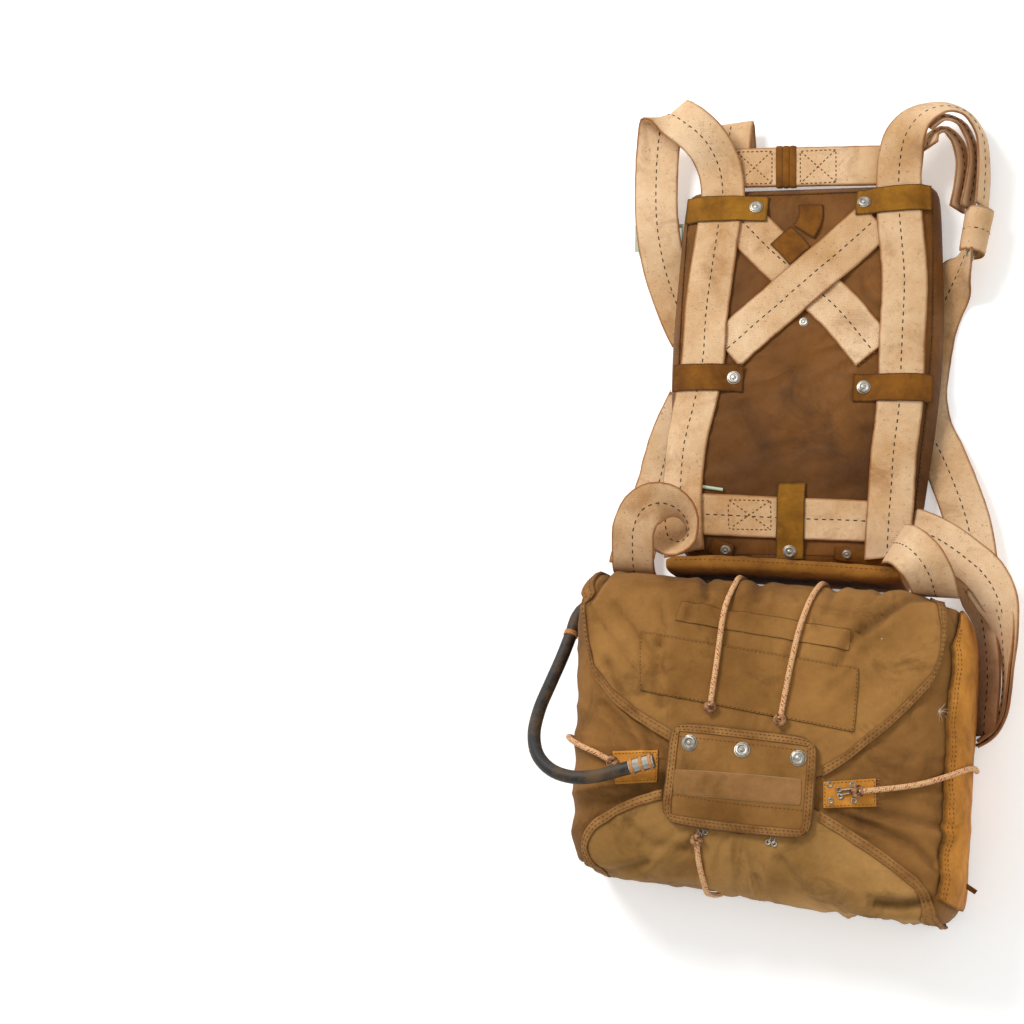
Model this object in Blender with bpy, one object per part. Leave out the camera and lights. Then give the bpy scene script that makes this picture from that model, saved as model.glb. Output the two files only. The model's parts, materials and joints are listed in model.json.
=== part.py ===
# Packed parachute: a seat pack with its back pad and harness, lying on its back.
# +X is to the right, +Y from the seat pack to the shoulder loops, +Z up from the surface
# it lies on. Tables are in millimetres and degrees; meshes are in metres.
import math

import bmesh
import bpy
import numpy as np
from mathutils import Vector

MM = 0.001

# Driving sizes, in millimetres
CENTRE_SHIFT = (-19.5, -11.5)         # brings the middle of the whole thing to the origin
WEBBING_WIDTH = 43.7
WEBBING_THICK = 2.6
LAYER_GAP = 0.75                    # between webbing and what it lies on
GAP = 0.4                           # between pieces that touch
CLOTH_THICK = 1.5
TAPE_WIDTH = 9.0
TAPE_THICK = 1.1
BODY_INSET = 2.2                    # how far the filled body lies inside its flaps
FLAP_FOOT_Z = 8.0                   # the flaps' lower edges stop this far above the surface
PACK_CENTRE = (-14.0, -262.0)       # under the middle of the pin flap
PACK_CROWN = 6.0                    # rise of the pack's face from its rim to its middle
ELASTIC_DIAMETER = 5.2
HOSE_DIAMETER = 12.5
SNAP_DIAMETER = 14.5

# Corners of the pack, seen from above, before they are rounded: x, y
PACK_CORNERS = [(-175.0, -61.0), (187.0, -96.0), (169.0, -388.0), (-184.0, -335.0)]
PACK_ROUNDING = 11.0                # power that rounds the corners; larger is sharper

# The pack's wall from the rim of its face down to its foot: how far inside the largest
# outline it lies, and its height
PACK_WALL = [
    (46.0, 116.5), (34.0, 114.6), (22.0, 110.0), (12.0, 102.0), (5.0, 91.0), (1.0, 78.0),
    (0.0, 60.0), (0.0, 38.0), (2.0, 20.0), (6.0, 8.0), (17.0, 0.0),
]

# Corners of the back pad, seen from above: x, y
PAD_CORNERS = [(-90.0, 329.0), (158.0, 322.0), (162.0, 150.0), (130.0, -52.0), (-92.0, -42.0),
               (-108.0, 130.0)]
PAD_ROUNDING = 22.0
PAD_CENTRE = (28.0, 150.0)
PAD_THICK = 36.0
PAD_EDGE_Z = 14.0                   # height of the pad's outermost edge
PAD_UNDER_Z = 3.9                   # its underside, over the webbing that runs below it
PAD_EDGE_ROUND = 30.0               # how far in from the edge the pad reaches its thickness
STIFF_SLOPE = 0.30                  # most that webbing leans across its width over the pad
PAD_DROP = 0.5                      # fall of webbing that hangs over the pad's edge
PAD_WAIST = (-22.0, 58.0, 0.42)     # y, half length and depth of the hollow at the waist

# Slanted flap edges on the pack: way is -1 at the pin flap, 0 at the rim of the face and
# 1 at the foot of the wall; bearing is from the pack's centre, in degrees
TOP_LEFT_EDGE = [(-1.0, 151.0), (-0.68, 150.9), (-0.30, 150.2), (-0.05, 148.5), (0.10, 145.1),
                 (0.15, 140.2), (0.20, 135.1), (0.25, 131.0), (0.45, 128.5), (1.0, 127.5)]
TOP_RIGHT_EDGE = [(-1.0, 0.0), (-0.73, 4.7), (-0.37, 16.8), (-0.05, 24.1), (0.08, 27.4),
                  (0.13, 30.5), (0.17, 34.5), (0.23, 38.2), (0.33, 41.7), (0.5, 43.5), (1.0, 44.0)]
BOTTOM_LEFT_EDGE = [(-1.0, 184.0), (-0.57, 185.2), (-0.33, 187.4), (-0.08, 190.1), (0.09, 193.5),
                    (0.19, 197.7), (0.28, 203.4), (0.45, 206.5), (1.0, 207.5)]
BOTTOM_RIGHT_EDGE = [(-1.0, 342.0), (-0.75, 339.9), (-0.44, 336.1), (-0.115, 333.3),
                     (0.08, 331.5), (0.19, 328.7), (0.27, 326.5), (0.45, 325.5), (1.0, 325.0)]

# Colours: linear red, green and blue, then roughness and metallic
FINISHES = {
    "duck": ((0.20, 0.125, 0.052), 0.85, 0.0),
    "pad_duck": ((0.13, 0.075, 0.035), 0.85, 0.0),
    "webbing": ((0.66, 0.46, 0.31), 0.9, 0.0),
    "keeper": ((0.19, 0.125, 0.025), 0.8, 0.0),
    "mustard": ((0.32, 0.17, 0.04), 0.85, 0.0),
    "tape": ((0.30, 0.17, 0.085), 0.85, 0.0),
    "elastic": ((0.60, 0.33, 0.17), 0.9, 0.0),
    "hose": ((0.012, 0.012, 0.011), 0.5, 0.0),
    "nickel": ((0.62, 0.60, 0.56), 0.3, 1.0),
    "green_metal": ((0.42, 0.47, 0.36), 0.5, 0.3),
}


def clear_scene():
    for item in list(bpy.data.objects):
        bpy.data.objects.remove(item, do_unlink=True)


def finish(name):
    """One material for each finish, made when it is first used."""
    found = bpy.data.materials.get(name)
    if found:
        return found
    colour, roughness, metallic = FINISHES[name]
    material = bpy.data.materials.new(name)
    material.use_nodes = True
    shader = material.node_tree.nodes["Principled BSDF"]
    shader.inputs["Base Color"].default_value = (*colour, 1.0)
    shader.inputs["Roughness"].default_value = roughness
    shader.inputs["Metallic"].default_value = metallic
    return material


# Curves through table rows


def smooth_rows(rows, step):
    """Rows of a table joined by a smooth curve and read about every step millimetres."""
    points = np.array(rows, dtype=float)
    runs = np.linalg.norm(np.diff(points[:, :3], axis=0), axis=1)
    knots = np.concatenate([[0.0], np.cumsum(runs)])
    slopes = np.gradient(points, knots, axis=0)
    count = max(2, int(round(knots[-1] / step)) + 1)
    read = []
    for place in np.linspace(0.0, knots[-1], count):
        span = min(max(int(np.searchsorted(knots, place)) - 1, 0), len(knots) - 2)
        length = knots[span + 1] - knots[span]
        u = (place - knots[span]) / length
        read.append((2 * u**3 - 3 * u**2 + 1) * points[span]
                    + (u**3 - 2 * u**2 + u) * length * slopes[span]
                    + (-2 * u**3 + 3 * u**2) * points[span + 1]
                    + (u**3 - u**2) * length * slopes[span + 1])
    return np.array(read)


def read_edge(edge, way):
    """The bearing of a slanted flap edge at a way across the pack's face."""
    return float(np.interp(way, [row[0] for row in edge], [row[1] for row in edge]))


# Closed outlines with rounded corners


def outline_reach(corners, centre, rounding, bearing):
    """How far an outline lies from its centre, at a bearing in degrees."""
    along = (math.cos(math.radians(bearing)), math.sin(math.radians(bearing)))
    total = 0.0
    for (x1, y1), (x2, y2) in zip(corners, corners[1:] + corners[:1]):
        length = math.hypot(x2 - x1, y2 - y1)
        nx, ny = (y2 - y1) / length, -(x2 - x1) / length
        height = (x1 - centre[0]) * nx + (y1 - centre[1]) * ny
        if height < 0:
            nx, ny, height = -nx, -ny, -height
        total += (max(0.0, nx * along[0] + ny * along[1]) / height) ** rounding
    return total ** (-1.0 / rounding)


def bearing_of(x, y, centre):
    return math.degrees(math.atan2(y - centre[1], x - centre[0]))


# The seat pack's surface

WALL_RUN = np.concatenate([[0.0], np.cumsum([
    math.hypot(b[0] - a[0], b[1] - a[1]) for a, b in zip(PACK_WALL, PACK_WALL[1:])])])
WALL_INSET = [row[0] for row in PACK_WALL]
WALL_Z = [row[1] for row in PACK_WALL]
RIM_INSET = PACK_WALL[0][0]
WALL_END = float(np.interp(-FLAP_FOOT_Z, [-z for z in WALL_Z], WALL_RUN))
FLAP_INNER = 45.0                   # the flaps' inner edges, from the pack's centre


def pack_reach(bearing):
    return outline_reach(PACK_CORNERS, PACK_CENTRE, PACK_ROUNDING, bearing)


def pack_bare(bearing, run):
    """A point on the pack's own surface."""
    reach = pack_reach(bearing)
    rim = reach - RIM_INSET
    if run <= 0.0:
        r = max(rim + run, 0.0)
        z = WALL_Z[0] + PACK_CROWN * (1.0 - (r / rim) ** 2)
    else:
        r = reach - np.interp(run, WALL_RUN, WALL_INSET)
        z = np.interp(run, WALL_RUN, WALL_Z)
    radians = math.radians(bearing)
    return Vector((PACK_CENTRE[0] + r * math.cos(radians),
                   PACK_CENTRE[1] + r * math.sin(radians), float(z)))


def pack_point(bearing, run, lift):
    """A point over the pack. The run is in millimetres along its surface, below zero
    inward from the face's rim and above zero outward and down the wall."""
    bare = pack_bare(bearing, run)
    across = pack_bare(bearing + 1.0, run) - pack_bare(bearing - 1.0, run)
    outward = pack_bare(bearing, run + 3.0) - pack_bare(bearing, run - 3.0)
    square = outward.cross(across)
    if square.length < 1e-6:
        square = Vector((0.0, 0.0, 1.0))
    return tuple(bare + square.normalized() * lift)


def face_point(x, y, lift):
    """A point over the pack's face or shoulder, by its place seen from above."""
    bearing = bearing_of(x, y, PACK_CENTRE)
    reach = pack_reach(bearing)
    r = math.hypot(x - PACK_CENTRE[0], y - PACK_CENTRE[1])
    run = r - (reach - RIM_INSET)
    if run > 0.0:
        run = float(np.interp(RIM_INSET - run, WALL_INSET[6::-1], WALL_RUN[6::-1]))
    return pack_point(bearing, run, lift)


def way_run(bearing, way):
    """The run for a way across the pack: -1 at the pin flap, 0 at the rim, 1 at the foot."""
    if way < 0.0:
        return way * (pack_reach(bearing) - RIM_INSET - FLAP_INNER)
    return way * WALL_END


# The back pad's surface


def pad_half_heights(x, y):
    """Heights of the back pad's top and underside; past its edge, what webbing over it does."""
    bearing = bearing_of(x, y, PAD_CENTRE)
    reach = outline_reach(PAD_CORNERS, PAD_CENTRE, PAD_ROUNDING, bearing)
    inset = reach - math.hypot(x - PAD_CENTRE[0], y - PAD_CENTRE[1])
    if inset < 0.0:
        return PAD_EDGE_Z + inset * PAD_DROP, None
    share = min(inset / PAD_EDGE_ROUND, 1.0)
    swell = math.sqrt(1.0 - (1.0 - share) ** 2)
    middle, length, depth = PAD_WAIST
    hollow = 1.0 - depth * math.exp(-((y - middle) / length) ** 2)
    top = PAD_EDGE_Z + (PAD_THICK - PAD_EDGE_Z) * swell * hollow
    return top, PAD_UNDER_Z + (PAD_EDGE_Z - PAD_UNDER_Z) * (1.0 - swell)


def height_over(names, x, y):
    """How high the top of pieces already made lies at a place, or None beside them."""
    start = Vector(((x + CENTRE_SHIFT[0]) * MM, (y + CENTRE_SHIFT[1]) * MM, 1.0))
    highest = None
    for name in names:
        made = bpy.data.objects[name]
        struck, point, _, _ = made.ray_cast(start, Vector((0.0, 0.0, -1.0)))
        if struck and (highest is None or point.z / MM > highest):
            highest = point.z / MM
    return highest


def bed_height(names, x, y):
    """The top of the pieces a strap lies on; past the pad's edge, where it hangs down to."""
    over = height_over(names, x, y)
    return pad_half_heights(x, y)[0] if over is None else over


def seat_over(names, x, y, radius):
    """The lowest height at which a flat round thing clears the pieces under it."""
    heights = [height_over(names, x, y)]
    for k in range(24):
        angle, share = math.pi * k / 6, 1.0 if k < 12 else 0.5
        heights.append(height_over(names, x + share * radius * math.cos(angle),
                                   y + share * radius * math.sin(angle)))
    return max(h for h in heights if h is not None) + GAP


# Making closed meshes


def solid(name, points, faces, material, flat_angle=40.0):
    """A closed body from points in millimetres, with its faces turned outward."""
    mesh = bpy.data.meshes.new(name)
    shift = Vector((CENTRE_SHIFT[0], CENTRE_SHIFT[1], 0.0))
    mesh.from_pydata([(Vector(map(float, p)) + shift) * MM for p in points], [], faces)
    body = bmesh.new()
    body.from_mesh(mesh)
    bmesh.ops.triangulate(body, faces=body.faces[:])
    if body.calc_volume(signed=True) < 0.0:
        bmesh.ops.reverse_faces(body, faces=body.faces[:])
    body.to_mesh(mesh)
    body.free()
    mesh.materials.append(finish(material))
    mesh.shade_smooth()
    mesh.set_sharp_from_angle(angle=math.radians(flat_angle))
    made = bpy.data.objects.new(name, mesh)
    bpy.context.scene.collection.objects.link(made)
    return made


def slab(name, upper, lower, material):
    """A closed sheet between two grids of points of the same size."""
    rows, columns = len(upper), len(upper[0])
    points = [p for row in upper for p in row] + [p for row in lower for p in row]
    under = rows * columns
    faces = []
    for i in range(rows - 1):
        for j in range(columns - 1):
            a, b = i * columns + j, i * columns + j + 1
            c, d = b + columns, a + columns
            faces.append((a, b, c, d))
            faces.append((under + d, under + c, under + b, under + a))
    rim = ([(0, j) for j in range(columns)] + [(i, columns - 1) for i in range(1, rows)]
           + [(rows - 1, j) for j in range(columns - 2, -1, -1)]
           + [(i, 0) for i in range(rows - 2, 0, -1)])
    for (i1, j1), (i2, j2) in zip(rim, rim[1:] + rim[:1]):
        a, b = i1 * columns + j1, i2 * columns + j2
        faces.append((b, a, under + a, under + b))
    return solid(name, points, faces, material)


def loft(name, rings, material):
    """A closed body through rings of points, its ends closed by fans."""
    count = len(rings[0])
    points = [p for ring in rings for p in ring]
    faces = []
    for i in range(len(rings) - 1):
        for j in range(count):
            k = (j + 1) % count
            faces.append((i * count + j, i * count + k, (i + 1) * count + k, (i + 1) * count + j))
    for start, turn in ((0, -1), ((len(rings) - 1) * count, 1)):
        ring = rings[start // count]
        points.append(tuple(sum(p[axis] for p in ring) / count for axis in range(3)))
        hub = len(points) - 1
        for j in range(count):
            pair = (start + j, start + (j + 1) % count)
            faces.append((hub, *pair[::turn]))
    return solid(name, points, faces, material)


STRIP_SHARES = np.linspace(-0.5, 0.5, 15)


def lie_on(names, sections, width, lift):
    """Lower or raise the bedded sections of a strap until it just clears what it lies on.

    Each section is its middle, its side, its height and slope, and whether it is bedded.
    """
    def heights(middle, side):
        return [bed_height(names, middle.x + side.x * s * width, middle.y + side.y * s * width)
                for s in STRIP_SHARES]

    for section in sections:
        middle, side, bedded = section["middle"], section["side"], section["bedded"]
        if not bedded:
            continue
        flat = Vector((side.x, side.y, 0.0)).normalized()
        found = heights(middle, flat)
        slope = sum(s * h for s, h in zip(STRIP_SHARES, found)) / sum(s * s for s in STRIP_SHARES)
        slope = max(-STIFF_SLOPE * width, min(STIFF_SLOPE * width, slope))
        height = max(h - slope * s for s, h in zip(STRIP_SHARES, found)) + lift
        if height > middle.z:
            middle.z = height
            flat.z = slope / width
        section["side"] = flat.normalized()
    for one, two in zip(sections, sections[1:]):
        if not (one["bedded"] or two["bedded"]):
            continue
        short = 0.0
        for t in np.linspace(0.0, 1.0, 11):
            middle = one["middle"].lerp(two["middle"], t)
            side = one["side"].lerp(two["side"], t)
            for s, h in zip(STRIP_SHARES, heights(middle, side)):
                short = max(short, h + lift - (middle.z + side.z * s * width))
        one["middle"].z += short
        two["middle"].z += short


def webbing(name, rows, width=WEBBING_WIDTH, thick=WEBBING_THICK, step=17.0,
            material="webbing", under=None, gap=LAYER_GAP):
    """A length of webbing through rows of x, y, z, turn, tilt and bed.

    z is its middle, or the least that its middle may be where bed is 1 and it lies on the
    pieces under it. turn is the plan angle of the way across it and tilt that way's rise.
    """
    path = smooth_rows(rows, step)
    sections = []
    for x, y, z, turn, tilt, bed in path:
        turn, tilt = math.radians(turn), math.radians(tilt)
        side = Vector((math.cos(tilt) * math.cos(turn), math.cos(tilt) * math.sin(turn),
                       math.sin(tilt)))
        sections.append({"middle": Vector((x, y, z)), "side": side, "bedded": bed > 0.5})
    if under:
        lie_on(under, sections, width, thick / 2 + gap)
    ways = np.gradient(np.array([section["middle"] for section in sections]), axis=0)
    upper, lower = [], []
    for section, way in zip(sections, ways):
        way = Vector(way).normalized()
        middle, side = section["middle"], section["side"]
        if not section["bedded"]:
            side = (side - way * side.dot(way)).normalized()
        face = side.cross(way).normalized()
        ends = [middle - side * (width / 2), middle + side * (width / 2)]
        tops = [end + face * (thick / 2) for end in ends]
        unders = [end - face * (thick / 2) for end in ends]
        rise = Vector((0.0, 0.0, max(0.0, GAP - min(p.z for p in tops + unders))))
        upper.append([tuple(p + rise) for p in tops])
        lower.append([tuple(p + rise) for p in unders])
    return slab(name, upper, lower, material)


def cord(name, rows, diameter, step, material, resolution=2):
    """A round cord as a bevelled curve through rows of x, y and z."""
    data = bpy.data.curves.new(name, "CURVE")
    data.dimensions = "3D"
    data.bevel_depth = diameter / 2 * MM
    data.bevel_resolution = resolution
    data.render_resolution_u = 0
    data.use_fill_caps = True
    route = smooth_rows(rows, step)
    spline = data.splines.new("POLY")
    spline.points.add(len(route) - 1)
    for point, (x, y, z) in zip(spline.points, route):
        point.co = ((x + CENTRE_SHIFT[0]) * MM, (y + CENTRE_SHIFT[1]) * MM, z * MM, 1.0)
    data.materials.append(finish(material))
    made = bpy.data.objects.new(name, data)
    bpy.context.scene.collection.objects.link(made)
    return made


def button(name, x, y, z, diameter, height):
    """A snap fastener's domed cap on a thin flange."""
    profile = [(0.5, 0.0), (0.5, 0.34), (0.38, 0.50), (0.30, 0.90)]
    count = 12
    rings = []
    for radius, level in profile:
        ring = []
        for k in range(count):
            angle = 2 * math.pi * k / count
            dx, dy = radius * diameter * math.cos(angle), radius * diameter * math.sin(angle)
            ring.append((x + dx, y + dy, z + level * height))
        rings.append(ring)
    loft(name, rings, "nickel")


# Seat pack


def crowded(first, last, count):
    """Values from first to last that crowd towards both ends, where the corners are."""
    return [first + (last - first) * (0.5 - 0.5 * math.cos(math.pi * k / (count - 1)))
            for k in range(count)]


def make_pack_body():
    corners = [bearing_of(x, y, PACK_CENTRE) % 360.0 for x, y in PACK_CORNERS]
    corners.sort()
    bearings = []
    for first, last in zip(corners, corners[1:] + [corners[0] + 360.0]):
        bearings += crowded(first, last, 12)[:-1]
    rings = [[pack_point(b, run, -BODY_INSET) for b in bearings] for run in WALL_RUN[::-1]]
    rings[0] = [(x, y, 0.0) for x, y, _ in rings[0]]
    for share in (0.7, 0.35):
        rings.append([pack_point(b, -(pack_reach(b) - RIM_INSET) * (1 - share), -BODY_INSET)
                      for b in bearings])
    loft("pack_body", rings, "duck")


FLAP_WAYS = [0.0, 0.045, 0.09, 0.17, 0.25, 0.34, 0.44, 0.62, 0.82, 0.92, 1.0]


def make_flap(name, right_edge, left_edge, spread, lift, columns):
    """A closing flap from under the pin flap, over the rim and down the wall."""
    ways = [-1.0, -0.6, -0.25, *FLAP_WAYS]
    upper, lower = [], []
    for way in ways:
        start = read_edge(right_edge, way) - spread
        end = read_edge(left_edge, way) + spread
        if end < start:
            end += 360.0
        bearings = crowded(start, end, columns)
        upper.append([pack_point(b, way_run(b, way), lift + CLOTH_THICK) for b in bearings])
        lower.append([pack_point(b, way_run(b, way), lift) for b in bearings])
    slab(name, upper, lower, "duck")


def make_flap_binding(name, edge, inward, lift, first=-0.74):
    """Tape along a flap's slanted edge; inward is the bearing's sign into the flap."""
    ways = [first, first * 0.72, first * 0.45, first * 0.2, *FLAP_WAYS]
    upper, lower = [], []
    for way in ways:
        bearing = read_edge(edge, way)
        run = way_run(bearing, way)
        x, y, _ = pack_point(bearing, run, 0.0)
        radius = math.hypot(x - PACK_CENTRE[0], y - PACK_CENTRE[1])
        turn = math.degrees(TAPE_WIDTH / radius) * inward
        bearings = [bearing, bearing + turn / 2, bearing + turn]
        runs = [way_run(b, way) for b in bearings]
        upper.append([pack_point(b, r, lift + TAPE_THICK) for b, r in zip(bearings, runs)])
        lower.append([pack_point(b, r, lift) for b, r in zip(bearings, runs)])
    slab(name, upper, lower, "tape")


def quad_point(corners, u, v):
    """A point inside four corners given as top left, top right, bottom right, bottom left."""
    (ax, ay), (bx, by), (cx, cy), (dx, dy) = corners
    top = (ax + (bx - ax) * u, ay + (by - ay) * u)
    bottom = (dx + (cx - dx) * u, dy + (cy - dy) * u)
    return top[0] + (bottom[0] - top[0]) * v, top[1] + (bottom[1] - top[1]) * v


def face_patch(name, corners, lift, thick, columns, rows, material, bulge=0.0):
    """A patch that follows the pack's face, with an optional rise in its middle."""
    def grid(extra):
        made = []
        for v in np.linspace(0.0, 1.0, rows):
            row = []
            for u in np.linspace(0.0, 1.0, columns):
                x, y = quad_point(corners, u, v)
                rise = bulge * math.sin(math.pi * u) * math.sin(math.pi * v)
                row.append(face_point(x, y, lift + extra + rise))
            made.append(row)
        return made
    slab(name, grid(thick), grid(0.0), material)


LIFT_UNDER = 1.2                                     # side flaps
LIFT_OVER = LIFT_UNDER + CLOTH_THICK + 0.9           # top and bottom flaps
LIFT_TAPE = LIFT_OVER + CLOTH_THICK + 1.05           # what is sewn on the top and bottom flaps
LIFT_LABEL = LIFT_OVER + CLOTH_THICK + 0.6
LIFT_TAB = LIFT_UNDER + CLOTH_THICK + 0.6             # the tabs lie on the side flaps
LIFT_PIN = LIFT_TAPE + TAPE_THICK + 0.95             # the pin flap lies over the tapes
PIN_FLAP = [(-79.0, -207.0), (54.0, -223.0), (47.0, -312.0), (-88.0, -297.0)]
PIN_BULGE = 4.5
PIN_THICK = 2.2
LABEL = [(-112.0, -123.0), (91.0, -159.0), (86.0, -217.0), (-110.0, -178.0)]


def make_flaps():
    make_flap("flap_left", TOP_LEFT_EDGE, BOTTOM_LEFT_EDGE, 2.0, LIFT_UNDER, 13)
    make_flap("flap_right", BOTTOM_RIGHT_EDGE, TOP_RIGHT_EDGE, 2.0, LIFT_UNDER, 13)
    make_flap("flap_top", TOP_RIGHT_EDGE, TOP_LEFT_EDGE, 0.0, LIFT_OVER, 15)
    make_flap("flap_bottom", BOTTOM_LEFT_EDGE, BOTTOM_RIGHT_EDGE, 0.0, LIFT_OVER, 15)
    make_flap_binding("binding_top_left", TOP_LEFT_EDGE, -1.0, LIFT_TAPE + 0.6)
    make_flap_binding("binding_top_right", TOP_RIGHT_EDGE, 1.0, LIFT_TAPE)
    make_flap_binding("binding_bottom_left", BOTTOM_LEFT_EDGE, 1.0, LIFT_TAPE, -0.62)
    make_flap_binding("binding_bottom_right", BOTTOM_RIGHT_EDGE, -1.0, LIFT_TAPE)


def make_side_band():
    """The mustard webbing down the pack's right wall, pointed at its upper end."""
    rows = [  # bearing, run of its inner edge, run of its outer edge
        (39.5, 60.0, 70.0), (36.5, 44.0, 105.0), (34.0, 30.0, 128.0), (29.0, 31.0, 132.0),
        (22.0, 31.0, 132.0), (14.0, 32.0, 132.0), (6.0, 32.0, 132.0), (-2.0, 32.0, 132.0),
        (-10.0, 32.0, 132.0), (-18.0, 31.0, 132.0), (-25.0, 30.0, 132.0), (-30.0, 29.0, 132.0)]
    lift = LIFT_OVER + 0.4
    shares = np.array([0.0, 0.10, 0.22, 0.40, 0.65, 0.85, 1.0])
    upper, lower = [], []
    for bearing, inner, outer in rows:
        runs = inner + (min(outer, WALL_END) - inner) * shares
        upper.append([pack_point(bearing, run, lift + CLOTH_THICK) for run in runs])
        lower.append([pack_point(bearing, run, lift) for run in runs])
    slab("side_band", upper, lower, "mustard")


def ring_patch(name, corners, inset, lift, thick, columns, rows, material, bulge):
    """A frame of tape round the edge of a patch on the pack's face."""
    us = list(np.linspace(0.0, 1.0, columns))
    vs = list(np.linspace(0.0, 1.0, rows))
    loop = ([(u, 0.0) for u in us] + [(1.0, v) for v in vs[1:]]
            + [(u, 1.0) for u in us[-2::-1]] + [(0.0, v) for v in vs[-2:0:-1]])
    wide = math.dist(corners[0], corners[1])
    tall = math.dist(corners[0], corners[3])

    def place(u, v, height):
        x, y = quad_point(corners, u, v)
        rise = bulge * math.sin(math.pi * u) * math.sin(math.pi * v)
        return face_point(x, y, height + rise)

    def shrink(u, v):
        return (inset / wide + u * (1 - 2 * inset / wide), inset / tall + v * (1 - 2 * inset / tall))

    rings = [[place(*uv, lift) for uv in loop],
             [place(*uv, lift + thick) for uv in loop],
             [place(*shrink(*uv), lift + thick) for uv in loop],
             [place(*shrink(*uv), lift) for uv in loop]]
    count = len(loop)
    points = [p for ring in rings for p in ring]
    faces = []
    for i in range(4):
        for j in range(count):
            k = (j + 1) % count
            m = (i + 1) % 4
            faces.append((i * count + j, i * count + k, m * count + k, m * count + j))
    solid(name, points, faces, material)


def make_face_pieces():
    face_patch("label_patch", LABEL, LIFT_LABEL, 0.9, 11, 4, "duck")
    face_patch("pin_flap", PIN_FLAP, LIFT_PIN, PIN_THICK, 11, 8, "duck", PIN_BULGE)
    top = LIFT_PIN + PIN_THICK + GAP
    ring_patch("pin_flap_binding", PIN_FLAP, 8.0, top, 1.0, 9, 7, "tape", PIN_BULGE)
    for number, (u, v) in enumerate([(0.13, 0.22), (0.50, 0.21), (0.88, 0.21)]):
        x, y = quad_point(PIN_FLAP, u, v)
        z = seat_over(["pin_flap", "pin_flap_binding"], x, y, SNAP_DIAMETER / 2)
        button(f"pin_snap_{number + 1}", x, y, z, SNAP_DIAMETER, 3.2)


def make_tabs():
    """The mustard tabs that the side elastics hook on, under the ends of the pin flap."""
    tabs = {
        "tab_right": [(58.0, -261.0), (105.0, -257.5), (105.0, -283.0), (58.0, -285.0)],
        "tab_left": [(-136.0, -233.0), (-93.0, -232.0), (-94.0, -262.0), (-134.0, -264.0)],
    }
    for name, corners in tabs.items():
        face_patch(name, corners, LIFT_TAB, CLOTH_THICK, 5, 3, "mustard")


ELASTICS = {  # places on the face seen from above, bearing at the wall, end over the foot, lift
    "elastic_top_left": ([(-44.0, -193.0), (-39.0, -157.0), (-35.0, -120.0)], 94.0, 6.0, 2.1),
    "elastic_top_right": ([(20.0, -205.0), (27.0, -168.0), (36.0, -125.0)], 70.0, 6.0, 2.1),
    "elastic_right": ([(90.0, -270.0), (117.0, -267.0), (140.0, -264.0)], 5.0, 30.0, 0.6),
    "elastic_left": ([(-136.0, -243.0), (-146.0, -236.0)], 164.5, 30.0, 0.2),
    "elastic_bottom": ([(-57.0, -313.0)], 246.4, 6.0, 1.0),
}


def make_elastics():
    """Pack-opening elastics: over the pack's face and down its wall, pulled tight."""
    over_wall = LIFT_OVER + 2 * CLOTH_THICK + ELASTIC_DIAMETER / 2
    for name, (places, wall_bearing, above_foot, lift) in ELASTICS.items():
        over = LIFT_OVER + CLOTH_THICK + lift + ELASTIC_DIAMETER / 2
        rows = [face_point(x, y, over) for x, y in places]
        x, y = places[-1]
        bearing = bearing_of(x, y, PACK_CENTRE) % 360.0
        if wall_bearing - bearing < -180.0:
            bearing -= 360.0
        last = WALL_END - above_foot
        r = math.hypot(x - PACK_CENTRE[0], y - PACK_CENTRE[1])
        first = r - (pack_reach(bearing) - RIM_INSET)
        runs = [run for run in np.arange(math.ceil(first + 8.0), last, 9.0)] + [last]
        for run in runs:
            turn = min((run - first) / 45.0, 1.0)
            rows.append(pack_point(bearing + (wall_bearing - bearing) * turn, run,
                                   over + (over_wall - over) * turn))
        cord(name, rows, ELASTIC_DIAMETER, 12.0, "elastic")


HOSE_ROUTE = [  # x, y, z
    (-179.4, -88.0, 40.0), (-184.0, -88.6, 40.4), (-190.0, -96.0, 42.5), (-195.0, -114.0, 48.5),
    (-201.5, -138.0, 58.0), (-209.5, -165.0, 71.0),
    (-216.0, -191.0, 86.0), (-217.0, -216.0, 101.0), (-208.0, -238.0, 117.0),
    (-191.0, -252.0, 128.0), (-170.0, -258.0, 134.0), (-148.0, -257.0, 136.5),
    (-127.0, -252.0, 138.5), (-117.0, -249.5, 139.0)]
FERRULE_ROUTE = [(-116.5, -249.3, 139.0), (-104.0, -246.0, 139.5), (-94.0, -243.5, 139.5)]


def make_hose():
    cord("hose", HOSE_ROUTE, HOSE_DIAMETER, 16.0, "hose", 3)
    cord("ferrule", FERRULE_ROUTE, HOSE_DIAMETER + 1.0, 6.0, "nickel", 3)


def make_seat_cushion():
    """The edge of the seat cushion that stands behind the pack's upper wall."""
    rows = [(-96.0, -52.9), (-60.0, -52.7), (0.0, -56.9), (60.0, -61.9), (124.0, -67.9)]
    half_deep, low, high = 8.4, 0.0, 84.0
    section = [(-0.75, 0.0), (0.75, 0.0), (1.0, 0.12), (1.0, 0.45), (0.86, 0.5), (1.0, 0.55),
               (0.95, 0.86), (0.5, 1.0), (-0.5, 1.0), (-0.95, 0.86), (-1.0, 0.5), (-1.0, 0.12)]
    path = smooth_rows([(x, y, 0.0) for x, y in rows], 20.0)
    rings = []
    for index, (x, y, _) in enumerate(path):
        end = min(index, len(path) - 1 - index)
        full = 0.72 if end == 0 else 1.0
        rings.append([(x, y + u * half_deep * full, low + v * (high - low) * (0.9 + 0.1 * full))
                      for u, v in section])
    loft("seat_cushion", rings, "pad_duck")


# Back pad


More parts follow.
